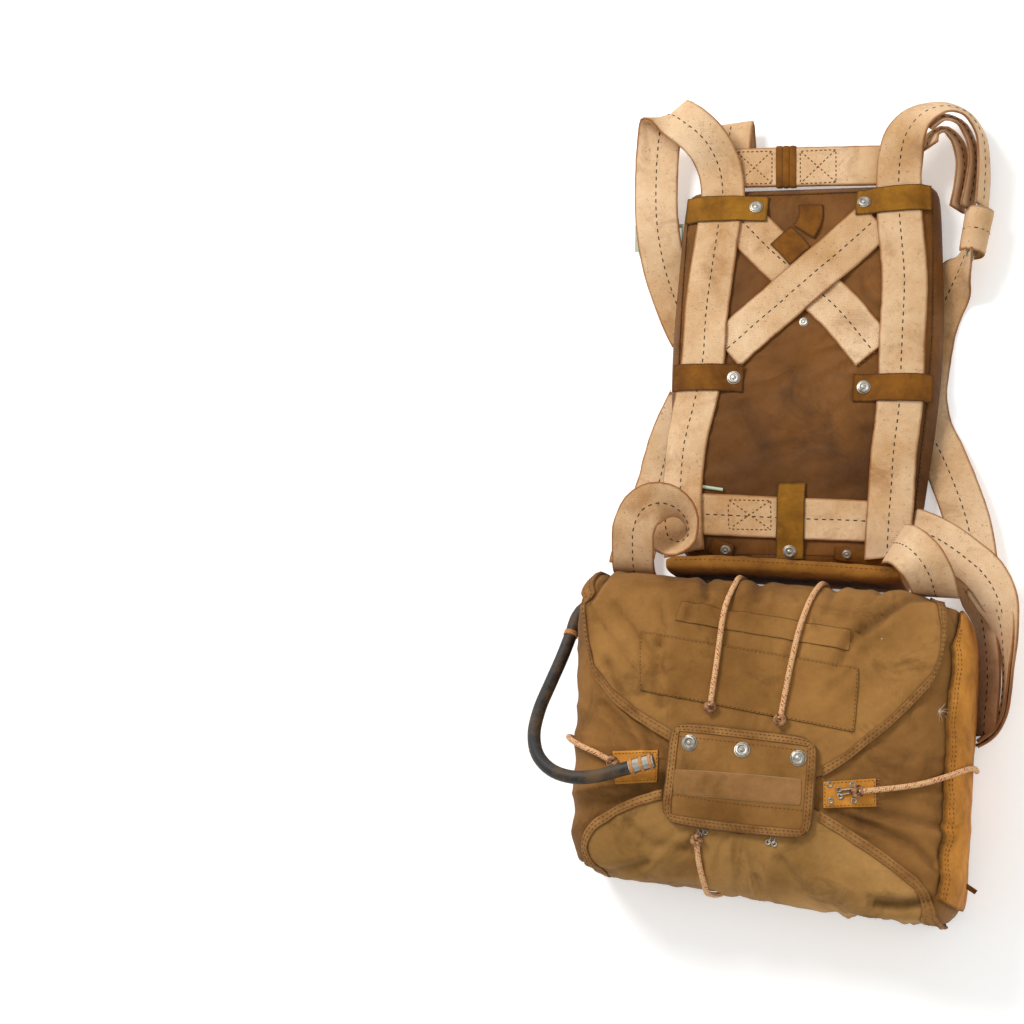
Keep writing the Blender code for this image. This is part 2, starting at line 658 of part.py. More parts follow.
def make_back_pad():
    bearings = np.linspace(0.0, 360.0, 48, endpoint=False)
    insets = [0.0, 1.2, 4.0, 9.0, 17.0, 30.0]

    def ring(inset, top, scale=1.0):
        made = []
        for bearing in bearings:
            reach = outline_reach(PAD_CORNERS, PAD_CENTRE, PAD_ROUNDING, bearing)
            r = (reach - inset) * scale
            radians = math.radians(bearing)
            x, y = PAD_CENTRE[0] + r * math.cos(radians), PAD_CENTRE[1] + r * math.sin(radians)
            high, low = pad_half_heights(PAD_CENTRE[0] + (r - 0.01) * math.cos(radians),
                                         PAD_CENTRE[1] + (r - 0.01) * math.sin(radians))
            made.append((x, y, high if top else low))
        return made

    rings = [ring(inset, False) for inset in insets[::-1]] + [ring(inset, True) for inset in insets[1:]]
    rings += [ring(30.0, True, scale) for scale in (0.75, 0.5, 0.25)]
    loft("back_pad", rings, "pad_duck")


# Harness. Columns are x, y, z, turn, tilt and bed: 1 on the pieces under it, 0 free.

STRAPS = {
    "strap_left": [
        (-91.0, -34.0, 8.0, 6, 0, 1), (-92.0, -5.0, 8.0, 2, 0, 1), (-92.0, 24.0, 8.0, -4, 0, 1),
        (-87.0, 72.0, 8.0, -8, 0, 1), (-75.0, 122.0, 8.0, -10, 0, 1),
        (-69.0, 159.0, 8.0, -6, 0, 1), (-66.0, 205.0, 8.0, -5, 0, 1),
        (-60.0, 250.0, 8.0, -6, 0, 1), (-54.0, 291.0, 20.0, -2, 0, 1),
        (-51.0, 318.0, 33.5, 6, 0, 1), (-54.0, 346.0, 36.5, 16, 0, 0),
        (-67.0, 373.0, 50.0, 30, 0, 0), (-87.0, 391.0, 55.0, 28, 0, 0),
        (-102.0, 401.0, 50.0, 20, 0, 0), (-112.0, 398.0, 38.0, 14, 0, 0),
        (-118.0, 378.0, 27.0, 10, 0, 0), (-121.0, 345.0, 21.0, 5, 0, 0),
        (-121.0, 302.0, 16.0, -2, 0, 0), (-118.0, 274.0, 10.0, -6, -4, 0),
        (-113.0, 250.0, 4.8, -8, -6, 0), (-108.0, 234.0, 2.6, -10, -2, 0),
        (-103.0, 220.0, 1.8, -14, 0, 0), (-97.0, 205.0, 1.8, -18, 0, 0),
        (-88.0, 186.0, 1.8, -22, 0, 0)],
    "strap_right": [
        (106.0, -44.0, 10.0, 4, 0, 1), (110.0, 6.0, 8.0, 4, 0, 1), (114.0, 55.0, 8.0, 3, 0, 1),
        (120.0, 102.0, 8.0, 1, 0, 1), (123.0, 163.0, 8.0, -3, 0, 1),
        (126.0, 226.0, 8.0, -1, 0, 1), (122.0, 287.0, 20.0, 0, 0, 1),
        (121.0, 314.0, 33.5, 0, 0, 1), (123.0, 344.0, 37.5, -8, 0, 0),
        (131.0, 367.0, 48.0, -30, 18, 0), (147.0, 383.0, 53.0, -55, 42, 0),
        (167.0, 390.0, 49.0, -85, 60, 0), (187.0, 384.0, 43.0, -125, 72, 0),
        (199.0, 366.0, 37.0, -150, 78, 0), (202.0, 342.0, 32.0, -170, 80, 0),
        (201.0, 316.0, 29.0, -183, 80, 0), (199.0, 295.5, 27.0, -188, 80, 0)],
    "strap_right_middle": [
        (149.0, 373.0, 48.0, -50, 55, 0), (166.0, 381.0, 46.0, -85, 64, 0),
        (181.0, 376.0, 41.0, -125, 72, 0), (190.0, 360.0, 36.0, -150, 78, 0),
        (193.0, 340.0, 32.0, -170, 80, 0), (189.5, 314.0, 29.0, -185, 80, 0),
        (185.0, 294.0, 27.0, -190, 80, 0)],
    "strap_right_inner": [
        (150.3, 351.6, 44.8, -20, 60, 0), (153.6, 364.0, 43.6, -50, 62, 0),
        (164.6, 370.0, 42.6, -90, 66, 0), (175.6, 362.0, 38.6, -140, 72, 0),
        (182.1, 342.0, 34.6, -165, 76, 0), (180.6, 316.0, 31.6, -185, 78, 0),
        (175.6, 293.0, 28.6, -190, 78, 0)],
    "strap_right_roll": [
        (182.0, 271.0, 34.0, 77, 0, 0), (188.0, 271.0, 42.5, 77, 0, 0),
        (198.0, 269.0, 42.5, 77, 0, 0), (205.0, 268.0, 31.0, 77, 0, 0),
        (201.0, 268.0, 17.0, 77, 0, 0), (190.0, 269.0, 12.0, 77, 0, 0),
        (182.0, 270.0, 15.0, 77, 0, 0)],
    "strap_right_lift": [
        (178.0, 237.0, 20.0, -190, -52, 0), (171.0, 227.0, 11.0, -190, -30, 0),
        (163.0, 214.0, 3.2, -192, -6, 0), (156.0, 200.0, 1.7, -190, 0, 0),
        (150.0, 182.0, 1.9, -180, 0, 0), (144.0, 150.0, 1.9, -180, 0, 0),
        (140.0, 116.0, 1.9, -174, 0, 0), (145.0, 84.0, 1.9, -158, 0, 0),
        (158.0, 55.0, 6.0, -156, -9, 0), (170.0, 24.0, 11.0, -160, -12, 0),
        (180.0, -8.0, 13.0, -168, -8, 0), (186.0, -42.0, 13.5, -173, -8, 0),
        (189.5, -66.0, 14.5, -176, -16, 0), (190.5, -80.0, 16.0, -178, -34, 0),
        (192.5, -95.0, 19.0, -180, -58, 0), (195.5, -112.0, 21.8, -180, -73, 0),
        (200.0, -135.0, 24.5, -180, -76, 0), (202.5, -165.0, 24.5, -184, -77, 0),
        (199.0, -190.0, 24.5, -198, -78, 0)],
    "strap_waist": [
        (-84.0, 3.0, 8.0, -92, 0, 1), (-40.0, 0.0, 8.0, -92, 0, 1), (0.0, -3.0, 8.0, -93, 0, 1),
        (45.0, -6.0, 8.0, -93, 0, 1), (88.0, -9.0, 8.0, -96, 0, 1),
        (112.0, -12.0, 8.0, -100, 0, 1), (136.0, -19.0, 31.5, -110, 0, 0),
        (158.0, -31.0, 40.0, -120, 0, 0), (181.0, -49.0, 47.0, -130, 0, 0),
        (200.0, -68.0, 56.0, -145, -12, 0), (211.5, -90.0, 62.0, -160, -28, 0),
        (217.0, -112.0, 58.0, -172, -54, 0), (218.5, -143.0, 44.0, -180, -75, 0),
        (217.0, -172.0, 34.0, -186, -80, 0), (212.0, -196.0, 29.0, -206, -80, 0),
        (203.0, -211.0, 26.0, -226, -80, 0), (195.0, -217.5, 25.0, -250, -80, 0)],
    "strap_left_low": [
        (-90.0, 122.0, 1.9, 168, 0, 0), (-103.0, 95.0, 1.9, 160, 0, 0),
        (-113.0, 66.0, 1.9, 164, 0, 0), (-120.0, 38.0, 2.4, 160, 0, 0),
        (-130.0, 10.0, 5.0, 165, 0, 0), (-139.0, -16.0, 10.0, 168, 0, 0),
        (-144.0, -44.0, 18.0, 172, 0, 0)],
    "leg_roll": [
        (-132.0, -58.8, 44.0, -5, 0, 0), (-131.0, -56.0, 62.0, -3, 0, 0),
        (-129.0, -37.0, 78.0, -4, 0, 0), (-126.0, -18.0, 87.0, -18, -4, 0),
        (-115.0, -1.0, 92.0, -50, -12, 0), (-99.0, 4.0, 91.0, -90, -28, 0),
        (-84.0, -1.0, 84.0, -130, -50, 0), (-76.0, -12.0, 74.0, -165, -66, 0),
        (-76.0, -24.0, 66.0, -195, -66, 0), (-85.0, -30.0, 60.0, -250, -54, 0),
        (-98.0, -26.0, 55.0, -310, -34, 0), (-103.0, -13.0, 51.0, -350, -16, 0),
        (-103.0, 2.0, 50.0, -360, -8, 0)],
    "pack_loop": [
        (156.0, -85.8, 60.0, -5, 0, 0), (155.5, -85.3, 82.0, -3, 0, 0),
        (152.0, -71.0, 101.0, 8, 0, 0), (145.0, -59.0, 107.0, 18, 0, 0),
        (136.0, -49.0, 103.0, 34, 0, 0), (127.0, -42.0, 90.0, 48, 0, 0),
        (120.0, -38.0, 74.0, 55, 0, 0), (116.0, -36.0, 58.0, 58, 0, 0)],
    "yoke_fold": [
        (-47.0, 345.0, 24.6, 0, 0, 0), (-47.0, 372.0, 25.0, 0, 0, 0),
        (-46.0, 390.0, 22.0, 2, 0, 0), (-45.0, 398.0, 17.0, 3, 0, 0),
        (-45.0, 391.0, 11.0, 3, 0, 0), (-44.0, 370.0, 8.5, 0, 0, 0),
        (-44.0, 346.0, 7.5, 0, 0, 0)],
    "diagonal_under": [
        (-33.0, 293.0, 12.0, -131, 0, 1), (-3.0, 260.0, 12.0, -133, 0, 1),
        (28.0, 230.0, 12.0, -134, 0, 1), (60.0, 200.0, 12.0, -137, 0, 1),
        (96.0, 154.0, 12.0, -142, 0, 1)],
    "diagonal_over": [
        (-47.0, 162.0, 12.0, -52, 0, 1), (-34.0, 173.0, 12.0, -52, 0, 1),
        (-12.0, 192.0, 12.0, -52, 0, 1), (8.0, 208.0, 12.0, -51, 0, 1),
        (40.0, 234.0, 12.0, -50, 0, 1), (62.0, 253.0, 12.0, -49, 0, 1),
        (84.0, 272.0, 12.0, -49, 0, 1), (99.0, 285.0, 12.0, -48, 0, 1)],
}
STRAP_WIDTHS = {"strap_waist": 40.0, "leg_roll": 41.0}
STRAP_STEPS = {"strap_right_roll": 6.0, "leg_roll": 10.0, "yoke_fold": 9.0, "pack_loop": 13.0}
PAD_STACK = ["back_pad", "strap_waist", "diagonal_under", "diagonal_over"]  # from the bottom up

YOKE = [(-72.0, 348.0, 30.0, -90, 0, 0), (-45.0, 348.0, 30.0, -90, 0, 0),
        (0.0, 347.0, 29.0, -92, 0, 0), (22.0, 346.0, 29.0, -92, 0, 0),
        (60.0, 344.0, 29.5, -92, 0, 0), (100.0, 342.0, 30.0, -92, 0, 0),
        (138.0, 340.0, 30.0, -92, 0, 0)]
YOKE_THICK = 5.4
YOKE_BAND = (1.0, 21.0)             # where along X the whipped band goes round the yoke

KEEPER_WIDTH = 27.0
KEEPERS = {
    "keeper_top_left": [
        (-88.0, 306.3, 0.0, -93, 0, 1), (-80.0, 306.0, 0.0, -93, 0, 1),
        (-54.0, 305.0, 0.0, -93, 0, 1), (-26.0, 303.5, 0.0, -93, 0, 1),
        (-18.0, 303.0, 0.0, -93, 0, 1), (-6.0, 302.0, 0.0, -93, 0, 1)],
    "keeper_top_right": [
        (80.0, 303.0, 0.0, -90, 0, 1), (92.0, 303.5, 0.0, -90, 0, 1),
        (99.0, 304.0, 0.0, -89, 0, 1), (122.0, 305.0, 0.0, -88, 0, 1),
        (147.0, 305.0, 0.0, -88, 0, 1), (152.0, 305.0, 0.0, -88, 0, 1)],
    "keeper_middle_left": [
        (-100.0, 137.3, 0.0, -93, 0, 1), (-94.0, 137.0, 0.0, -93, 0, 1),
        (-72.0, 136.0, 0.0, -93, 0, 1), (-47.0, 134.5, 0.0, -93, 0, 1),
        (-39.0, 134.0, 0.0, -93, 0, 1), (-30.0, 133.0, 0.0, -93, 0, 1)],
    "keeper_middle_right": [
        (76.0, 119.5, 0.0, -93, 0, 1), (88.0, 119.0, 0.0, -93, 0, 1),
        (97.0, 118.8, 0.0, -93, 0, 1), (121.0, 118.0, 0.0, -92, 0, 1),
        (146.0, 117.0, 0.0, -92, 0, 1), (151.0, 116.8, 0.0, -92, 0, 1)],
    "keeper_waist": [
        (16.5, 30.0, 0.0, 180, 0, 1), (16.0, 22.0, 0.0, 180, 0, 1),
        (15.0, -3.0, 0.0, 180, 0, 1), (14.0, -27.0, 0.0, 180, 0, 1),
        (13.6, -34.0, 0.0, 180, 0, 1), (13.0, -43.0, 0.0, 180, 0, 1)],
}
SMALL_TABS = {  # rows, width, finish
    "tab_low_left": ([(-63.0, -27.0, 0.0, -114, 0, 1), (-54.0, -31.0, 0.0, -114, 0, 1),
                      (-42.0, -35.0, 0.0, -105, 0, 1)], 15.0, "keeper"),
    "cross_keeper": ([(7.0, 274.0, 0.0, -138, 0, 1), (18.0, 262.0, 0.0, -138, 0, 1),
                      (26.0, 252.0, 0.0, -138, 0, 1)], 27.0, "mustard"),
    "cross_keeper_end": ([(36.0, 304.0, 0.0, 178, 0, 1), (36.0, 290.0, 0.0, 172, 0, 1),
                          (29.0, 277.0, 0.0, 145, 0, 1)], 24.0, "mustard"),
}
SNAPS = {  # what it is on, its place seen from above, its diameter
    "snap_top_left": ("keeper_top_left", -17.0, 304.0, 13.0),
    "snap_top_right": ("keeper_top_right", 88.0, 303.0, 13.0),
    "snap_middle_left": ("keeper_middle_left", -39.0, 134.0, 13.0),
    "snap_middle_right": ("keeper_middle_right", 86.5, 119.5, 13.0),
    "snap_waist": ("keeper_waist", 13.3, -36.0, 13.0),
    "snap_low_left": ("tab_low_left", -49.0, -33.0, 10.0),
}
STUD_PLACE = (29.0, 187.0)


def make_straps():
    order = PAD_STACK[1:] + [name for name in STRAPS if name not in PAD_STACK]
    for name in order:
        under = PAD_STACK[:order.index(name) + 1]
        webbing(name, STRAPS[name], STRAP_WIDTHS.get(name, WEBBING_WIDTH),
                step=STRAP_STEPS.get(name, 17.0), under=under)
    webbing("yoke", YOKE, 40.0, YOKE_THICK, 22.0)


def make_yoke_band():
    """The whipped band, a sleeve round the yoke."""
    start, end = YOKE_BAND
    path = smooth_rows(YOKE, 2.0)
    rings = []
    for grow in (1.3, 0.45):
        for x in ((start, end) if grow > 1.0 else (end, start)):
            row = path[int(np.argmin(abs(path[:, 0] - x)))]
            y, z = row[1], row[2]
            half_wide, half_thick = 20.0 + grow, YOKE_THICK / 2 + grow
            rings.append([(x, y - half_wide, z - half_thick), (x, y + half_wide, z - half_thick),
                          (x, y + half_wide, z + half_thick), (x, y - half_wide, z + half_thick)])
    points = [p for ring in rings for p in ring]
    faces = []
    for i in range(4):
        for j in range(4):
            k, m = (j + 1) % 4, (i + 1) % 4
            faces.append((i * 4 + j, i * 4 + k, m * 4 + k, m * 4 + j))
    solid("yoke_band", points, faces, "tape")


def make_keepers():
    under = PAD_STACK + ["strap_left", "strap_right"]
    for name, rows in KEEPERS.items():
        webbing(name, rows, KEEPER_WIDTH, CLOTH_THICK, 6.0, "keeper", under, 1.2)
    for name, (rows, width, material) in SMALL_TABS.items():
        webbing(name, rows, width, CLOTH_THICK, 7.0, material, under)
        under = under + [name]
    for name, (under, x, y, diameter) in SNAPS.items():
        button(name, x, y, seat_over([under, "back_pad"], x, y, diameter / 2), diameter, 3.4)
    x, y = STUD_PLACE
    button("snap_stud", x, y, seat_over(["back_pad"], x, y, 4.5), 9.0, 5.5)


def frame_bar(name, centre, along, across, sizes, material):
    """A flat metal frame with one slot, from the directions of its long and short sides."""
    long_side, short_side, bar, thick = sizes
    centre, along = Vector(centre), Vector(along).normalized()
    across = Vector(across)
    across = (across - along * across.dot(along)).normalized()
    face = along.cross(across)
    rings = []
    for inward, level in ((0.0, -0.5), (0.0, 0.5), (bar, 0.5), (bar, -0.5)):
        a, b = long_side / 2 - inward, short_side / 2 - inward
        rings.append([tuple(centre + along * (u * a) + across * (v * b) + face * (level * thick))
                      for u, v in ((-1, -1), (1, -1), (1, 1), (-1, 1))])
    points = [p for ring in rings for p in ring]
    faces = []
    for i in range(4):
        for j in range(4):
            k, m = (j + 1) % 4, (i + 1) % 4
            faces.append((i * 4 + j, i * 4 + k, m * 4 + k, m * 4 + j))
    solid(name, points, faces, material)


def make_fittings():
    frame_bar("adjuster_left", (-119.5, 288.0, 7.1), (1.0, -0.04, 0.0), (0.0, 1.0, 0.14),
              (51.0, 27.0, 3.5, 2.8), "green_metal")
    frame_bar("adjuster_right", (193.5, 269.0, 28.0), (-0.22, -0.97, 0.0), (0.0, 0.0, 1.0),
              (50.0, 24.0, 3.5, 3.0), "green_metal")


def main():
    clear_scene()
    make_pack_body()
    make_flaps()
    make_side_band()
    make_face_pieces()
    make_tabs()
    make_elastics()
    make_hose()
    make_seat_cushion()
    make_back_pad()
    make_straps()
    make_yoke_band()
    make_keepers()
    make_fittings()


main()
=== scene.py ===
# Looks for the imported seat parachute: cloth pack, back pad, webbing harness, hose and metal bits.
# Everything is in the CAD's frame: +Y from the seat pack to the shoulder straps, +Z up.
# Tables are in millimetres and degrees in the maker's own plan, moved by planShift.
import json
import math

import bmesh
import bpy
import numpy as np
from mathutils import Matrix, Vector, noise
from mathutils.bvhtree import BVHTree

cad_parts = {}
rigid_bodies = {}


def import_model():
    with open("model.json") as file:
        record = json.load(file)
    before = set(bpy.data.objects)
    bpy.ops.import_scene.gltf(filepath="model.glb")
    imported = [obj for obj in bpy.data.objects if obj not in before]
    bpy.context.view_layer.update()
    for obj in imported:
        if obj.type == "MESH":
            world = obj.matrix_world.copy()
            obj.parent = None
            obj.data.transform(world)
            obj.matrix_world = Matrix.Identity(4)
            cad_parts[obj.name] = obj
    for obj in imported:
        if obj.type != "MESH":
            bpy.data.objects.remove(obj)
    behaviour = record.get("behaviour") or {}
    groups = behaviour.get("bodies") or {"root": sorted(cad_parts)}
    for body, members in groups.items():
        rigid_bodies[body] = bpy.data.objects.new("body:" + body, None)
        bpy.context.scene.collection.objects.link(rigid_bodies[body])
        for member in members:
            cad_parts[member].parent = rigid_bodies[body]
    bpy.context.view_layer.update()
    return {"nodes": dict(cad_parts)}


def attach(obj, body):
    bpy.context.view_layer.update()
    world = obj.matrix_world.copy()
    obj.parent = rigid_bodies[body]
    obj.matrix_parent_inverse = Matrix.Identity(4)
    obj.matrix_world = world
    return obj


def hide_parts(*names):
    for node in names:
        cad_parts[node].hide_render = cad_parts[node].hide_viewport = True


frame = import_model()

mm = 0.001
planShift = Vector((-19.5, -11.5, 0.0))
noise.seed_set(7)  # or else noise_vector follows the clock and the loose strands change each run

# Camera

cameraView = {
    "place": (0.3371, -0.4085, 2.3016),  # metres
    "turn": (10.083, 15.045, 1.088),     # degrees
    "lens": 85.0,
}


def makeCamera():
    lens = bpy.data.cameras.new("camera")
    lens.lens = cameraView["lens"]
    camera = bpy.data.objects.new("camera", lens)
    camera.location = cameraView["place"]
    camera.rotation_euler = [math.radians(angle) for angle in cameraView["turn"]]
    bpy.context.scene.collection.objects.link(camera)
    bpy.context.scene.camera = camera


# Node and colour helpers


def fromHex(code):
    # sRGB hex to linear colour
    values = [int(code[i:i + 2], 16) / 255 for i in (1, 3, 5)]
    return [v / 12.92 if v <= 0.04045 else ((v + 0.055) / 1.055) ** 2.4 for v in values] + [1.0]


def addNode(tree, kind, fields=None, **settings):
    # A node with its settings; fields are values or sockets to link, by input
    node = tree.nodes.new(kind)
    for key, value in settings.items():
        setattr(node, key, value)
    for place, value in (fields or {}).items():
        if isinstance(value, bpy.types.NodeSocket):
            tree.links.new(value, node.inputs[place])
        else:
            node.inputs[place].default_value = value
    return node


def startMaterial(name):
    material = bpy.data.materials.new(name)
    material.use_nodes = True
    tree = material.node_tree
    return material, tree, tree.nodes["Principled BSDF"]


# Woven cottons. Every one has thread texture, blotches from handling, stains, and worn edges; the edge colour also
# paints shade into the pack's creases and a shadow line round the label

cottons = {
    # Cotton duck of the pack: plain weave, sun-faded brown with darker handled patches
    "cottonDuck": {
        "light": "#A97A41", "dark": "#664015", "stain": "#3E250B", "stainShare": 0.6,
        "edge": "#3E270F", "speck": "#A08055", "speckShare": 0.0, "blotch": 6.0,
        "thread": 0.0016, "herringbone": False, "bump": 0.25, "roughness": 0.86},
    # The same duck rubbed pale where the pin flap's stiffener shows through
    "rubbedDuck": {
        "light": "#A27549", "dark": "#7C5528", "stain": "#4E381C", "stainShare": 0.35,
        "edge": "#A08A66", "speck": "#A8926E", "speckShare": -0.02, "blotch": 20.0,
        "thread": 0.0016, "herringbone": False, "bump": 0.2, "roughness": 0.8},
    # Thin duck over the back pad's filling: darker, a little shiny from wear
    "padDuck": {
        "light": "#835321", "dark": "#442506", "stain": "#261202", "stainShare": 0.55,
        "edge": "#3A240C", "speck": "#7E6444", "speckShare": -0.01, "blotch": 5.0,
        "thread": 0.0015, "herringbone": False, "bump": 0.2, "roughness": 0.62},
    # Harness webbing: thick cream herringbone with rust marks and browned edges
    "harnessWebbing": {
        "light": "#E6C59E", "dark": "#B78956", "stain": "#8A5426", "stainShare": 0.55,
        "edge": "#8E5A30", "speck": "#8E4E2A", "speckShare": 0.06, "blotch": 8.0,
        "thread": 0.0021, "herringbone": True, "bump": 0.5, "roughness": 0.92},
    # Keeper tape: olive twill that has gone yellow
    "oliveTape": {
        "light": "#9C691A", "dark": "#6E450C", "stain": "#4E2E08", "stainShare": 0.35,
        "edge": "#4A3410", "speck": "#9A7F34", "speckShare": 0.02, "blotch": 30.0,
        "thread": 0.0014, "herringbone": True, "bump": 0.25, "roughness": 0.8},
    # The same tape rusted brown round its snaps
    "rustyTape": {
        "light": "#845214", "dark": "#583208", "stain": "#5C2C0A", "stainShare": 0.5,
        "edge": "#4E2C10", "speck": "#8A5A2A", "speckShare": 0.04, "blotch": 34.0,
        "thread": 0.0014, "herringbone": True, "bump": 0.25, "roughness": 0.8},
    # Mustard cotton webbing of the side band and the tabs
    "mustardWebbing": {
        "light": "#D6903A", "dark": "#985F1C", "stain": "#5E3A12", "stainShare": 0.3,
        "edge": "#6B4416", "speck": "#B98C46", "speckShare": 0.03, "blotch": 22.0,
        "thread": 0.0016, "herringbone": True, "bump": 0.35, "roughness": 0.85},
    # Binding tape: pinkish brown twill, darker in patches along its edges
    "bindingTape": {
        "light": "#A67843", "dark": "#7A5024", "stain": "#5A3A1C", "stainShare": 0.3,
        "edge": "#6A4826", "speck": "#B58F66", "speckShare": 0.03, "blotch": 40.0,
        "thread": 0.0013, "herringbone": True, "bump": 0.4, "roughness": 0.85},
}


def weaveCotton(name, look):
    material, tree, shader = startMaterial(name)
    place = addNode(tree, "ShaderNodeTexCoord").outputs["Object"]
    cloth = addNode(tree, "ShaderNodeUVMap", uv_map="cloth").outputs[0]
    across, along, _ = addNode(tree, "ShaderNodeSeparateXYZ", {0: cloth}).outputs
    edge = addNode(tree, "ShaderNodeAttribute", attribute_name="edge").outputs["Fac"]

    blotch = addNode(tree, "ShaderNodeTexNoise", {
        "Vector": place, "Scale": look["blotch"], "Detail": 7.0, "Roughness": 0.62}).outputs[0]
    spread = addNode(tree, "ShaderNodeMapRange", {0: blotch, 1: 0.33, 2: 0.67}).outputs[0]
    colour = addNode(tree, "ShaderNodeMix", {
        0: spread, 6: fromHex(look["dark"]), 7: fromHex(look["light"])}, data_type="RGBA").outputs[2]

    marks = addNode(tree, "ShaderNodeTexNoise", {
        "Vector": place, "Scale": look["blotch"] * 3.1, "Detail": 8.0, "Roughness": 0.7,
        "Distortion": 0.6}).outputs[0]
    marked = addNode(tree, "ShaderNodeMapRange", {
        0: marks, 1: 0.53, 2: 0.72, 4: look["stainShare"]}).outputs[0]
    colour = addNode(tree, "ShaderNodeMix", {
        0: marked, 6: colour, 7: fromHex(look["stain"])}, data_type="RGBA").outputs[2]

    flecks = addNode(tree, "ShaderNodeTexNoise", {
        "Vector": place, "Scale": 420.0, "Detail": 2.0, "Roughness": 0.6}).outputs[0]
    fleck = addNode(tree, "ShaderNodeMapRange", {
        0: flecks, 1: 0.70 - look["speckShare"], 2: 0.76 - look["speckShare"], 4: 0.55}).outputs[0]
    colour = addNode(tree, "ShaderNodeMix", {
        0: fleck, 6: colour, 7: fromHex(look["speck"])}, data_type="RGBA").outputs[2]

    # Edge colour where the edge attribute is high, patchy with the marks: worn edges, painted shade in the pack's
    # creases, and the label's painted shadow line
    rim = addNode(tree, "ShaderNodeMapRange", {
        0: edge, 1: 0.62, 2: 1.0, 4: 1.9}, interpolation_type="SMOOTHSTEP").outputs[0]
    wearAndShade = addNode(tree, "ShaderNodeMath", {0: rim, 1: marks}, operation="MULTIPLY",
                    use_clamp=True).outputs[0]
    colour = addNode(tree, "ShaderNodeMix", {
        0: wearAndShade, 6: colour, 7: fromHex(look["edge"])}, data_type="RGBA").outputs[2]

    # Threads, drawn two to three times as coarse as the real ones so that they show
    turns = 2 * math.pi / look["thread"]
    if look["herringbone"]:
        zigzag = addNode(tree, "ShaderNodeMath", {
            0: across, 1: look["thread"] * 1.6}, operation="PINGPONG").outputs[0]
        slanted = addNode(tree, "ShaderNodeMath", {0: along, 1: zigzag}, operation="ADD").outputs[0]
        phase = addNode(tree, "ShaderNodeMath", {
            0: slanted, 1: turns}, operation="MULTIPLY").outputs[0]
        ridges = addNode(tree, "ShaderNodeMath", {0: phase}, operation="SINE").outputs[0]
    else:
        warpPhase = addNode(tree, "ShaderNodeMath", {
            0: across, 1: turns}, operation="MULTIPLY").outputs[0]
        weftPhase = addNode(tree, "ShaderNodeMath", {
            0: along, 1: turns}, operation="MULTIPLY").outputs[0]
        warp = addNode(tree, "ShaderNodeMath", {0: warpPhase}, operation="SINE").outputs[0]
        weft = addNode(tree, "ShaderNodeMath", {0: weftPhase}, operation="SINE").outputs[0]
        ridges = addNode(tree, "ShaderNodeMath", {0: warp, 1: weft}, operation="MULTIPLY").outputs[0]
    fuzz = addNode(tree, "ShaderNodeTexNoise", {
        "Vector": place, "Scale": 260.0, "Detail": 5.0, "Roughness": 0.7}).outputs[0]
    height = addNode(tree, "ShaderNodeMath", {
        0: ridges, 1: 0.22, 2: fuzz}, operation="MULTIPLY_ADD").outputs[0]
    shade = addNode(tree, "ShaderNodeMapRange", {
        0: height, 1: 0.1, 2: 0.9, 3: 0.86, 4: 1.10}).outputs[0]
    colour = addNode(tree, "ShaderNodeVectorMath", {
        0: colour, "Scale": shade}, operation="SCALE").outputs[0]
    bump = addNode(tree, "ShaderNodeBump", {
        "Strength": look["bump"], "Distance": 0.0012, "Height": height}).outputs[0]

    tree.links.new(colour, shader.inputs["Base Color"])
    tree.links.new(bump, shader.inputs["Normal"])
    shader.inputs["Roughness"].default_value = look["roughness"]
    shader.inputs["Specular IOR Level"].default_value = 0.16
    shader.inputs["Sheen Weight"].default_value = 0.03
    shader.inputs["Sheen Roughness"].default_value = 0.5
    return material


# The two side flaps, darker: painted shade, so that the pale top and bottom flaps read as lying over them
cottons["shadedSideDuck"] = cottons["cottonDuck"] | {"light": "#986A36", "dark": "#5C3A16"}
# The label patch, with a near-black edge colour: a painted shadow line that draws its outline on the flap
cottons["patchDuck"] = cottons["cottonDuck"] | {
    "light": "#9E7039", "dark": "#684318", "edge": "#2E1A08"}
# The bottom flap, paler than the rest: a painted highlight
cottons["lowDuck"] = cottons["cottonDuck"] | {"light": "#B98B50", "dark": "#7C5828"}
# The seat cushion's cover, more orange, in larger patches, so that it parts from pack and pad
cottons["cushionDuck"] = cottons["cottonDuck"] | {
    "light": "#A06A28", "dark": "#6E4412", "stain": "#42240A", "blotch": 12.0}


# Braided elastic: cream cotton over rubber, two red tracers wound through the braid
elasticLook = {"light": "#EEC492", "dark": "#C08A54", "tracer": "#A8412B", "braid": 0.0036}


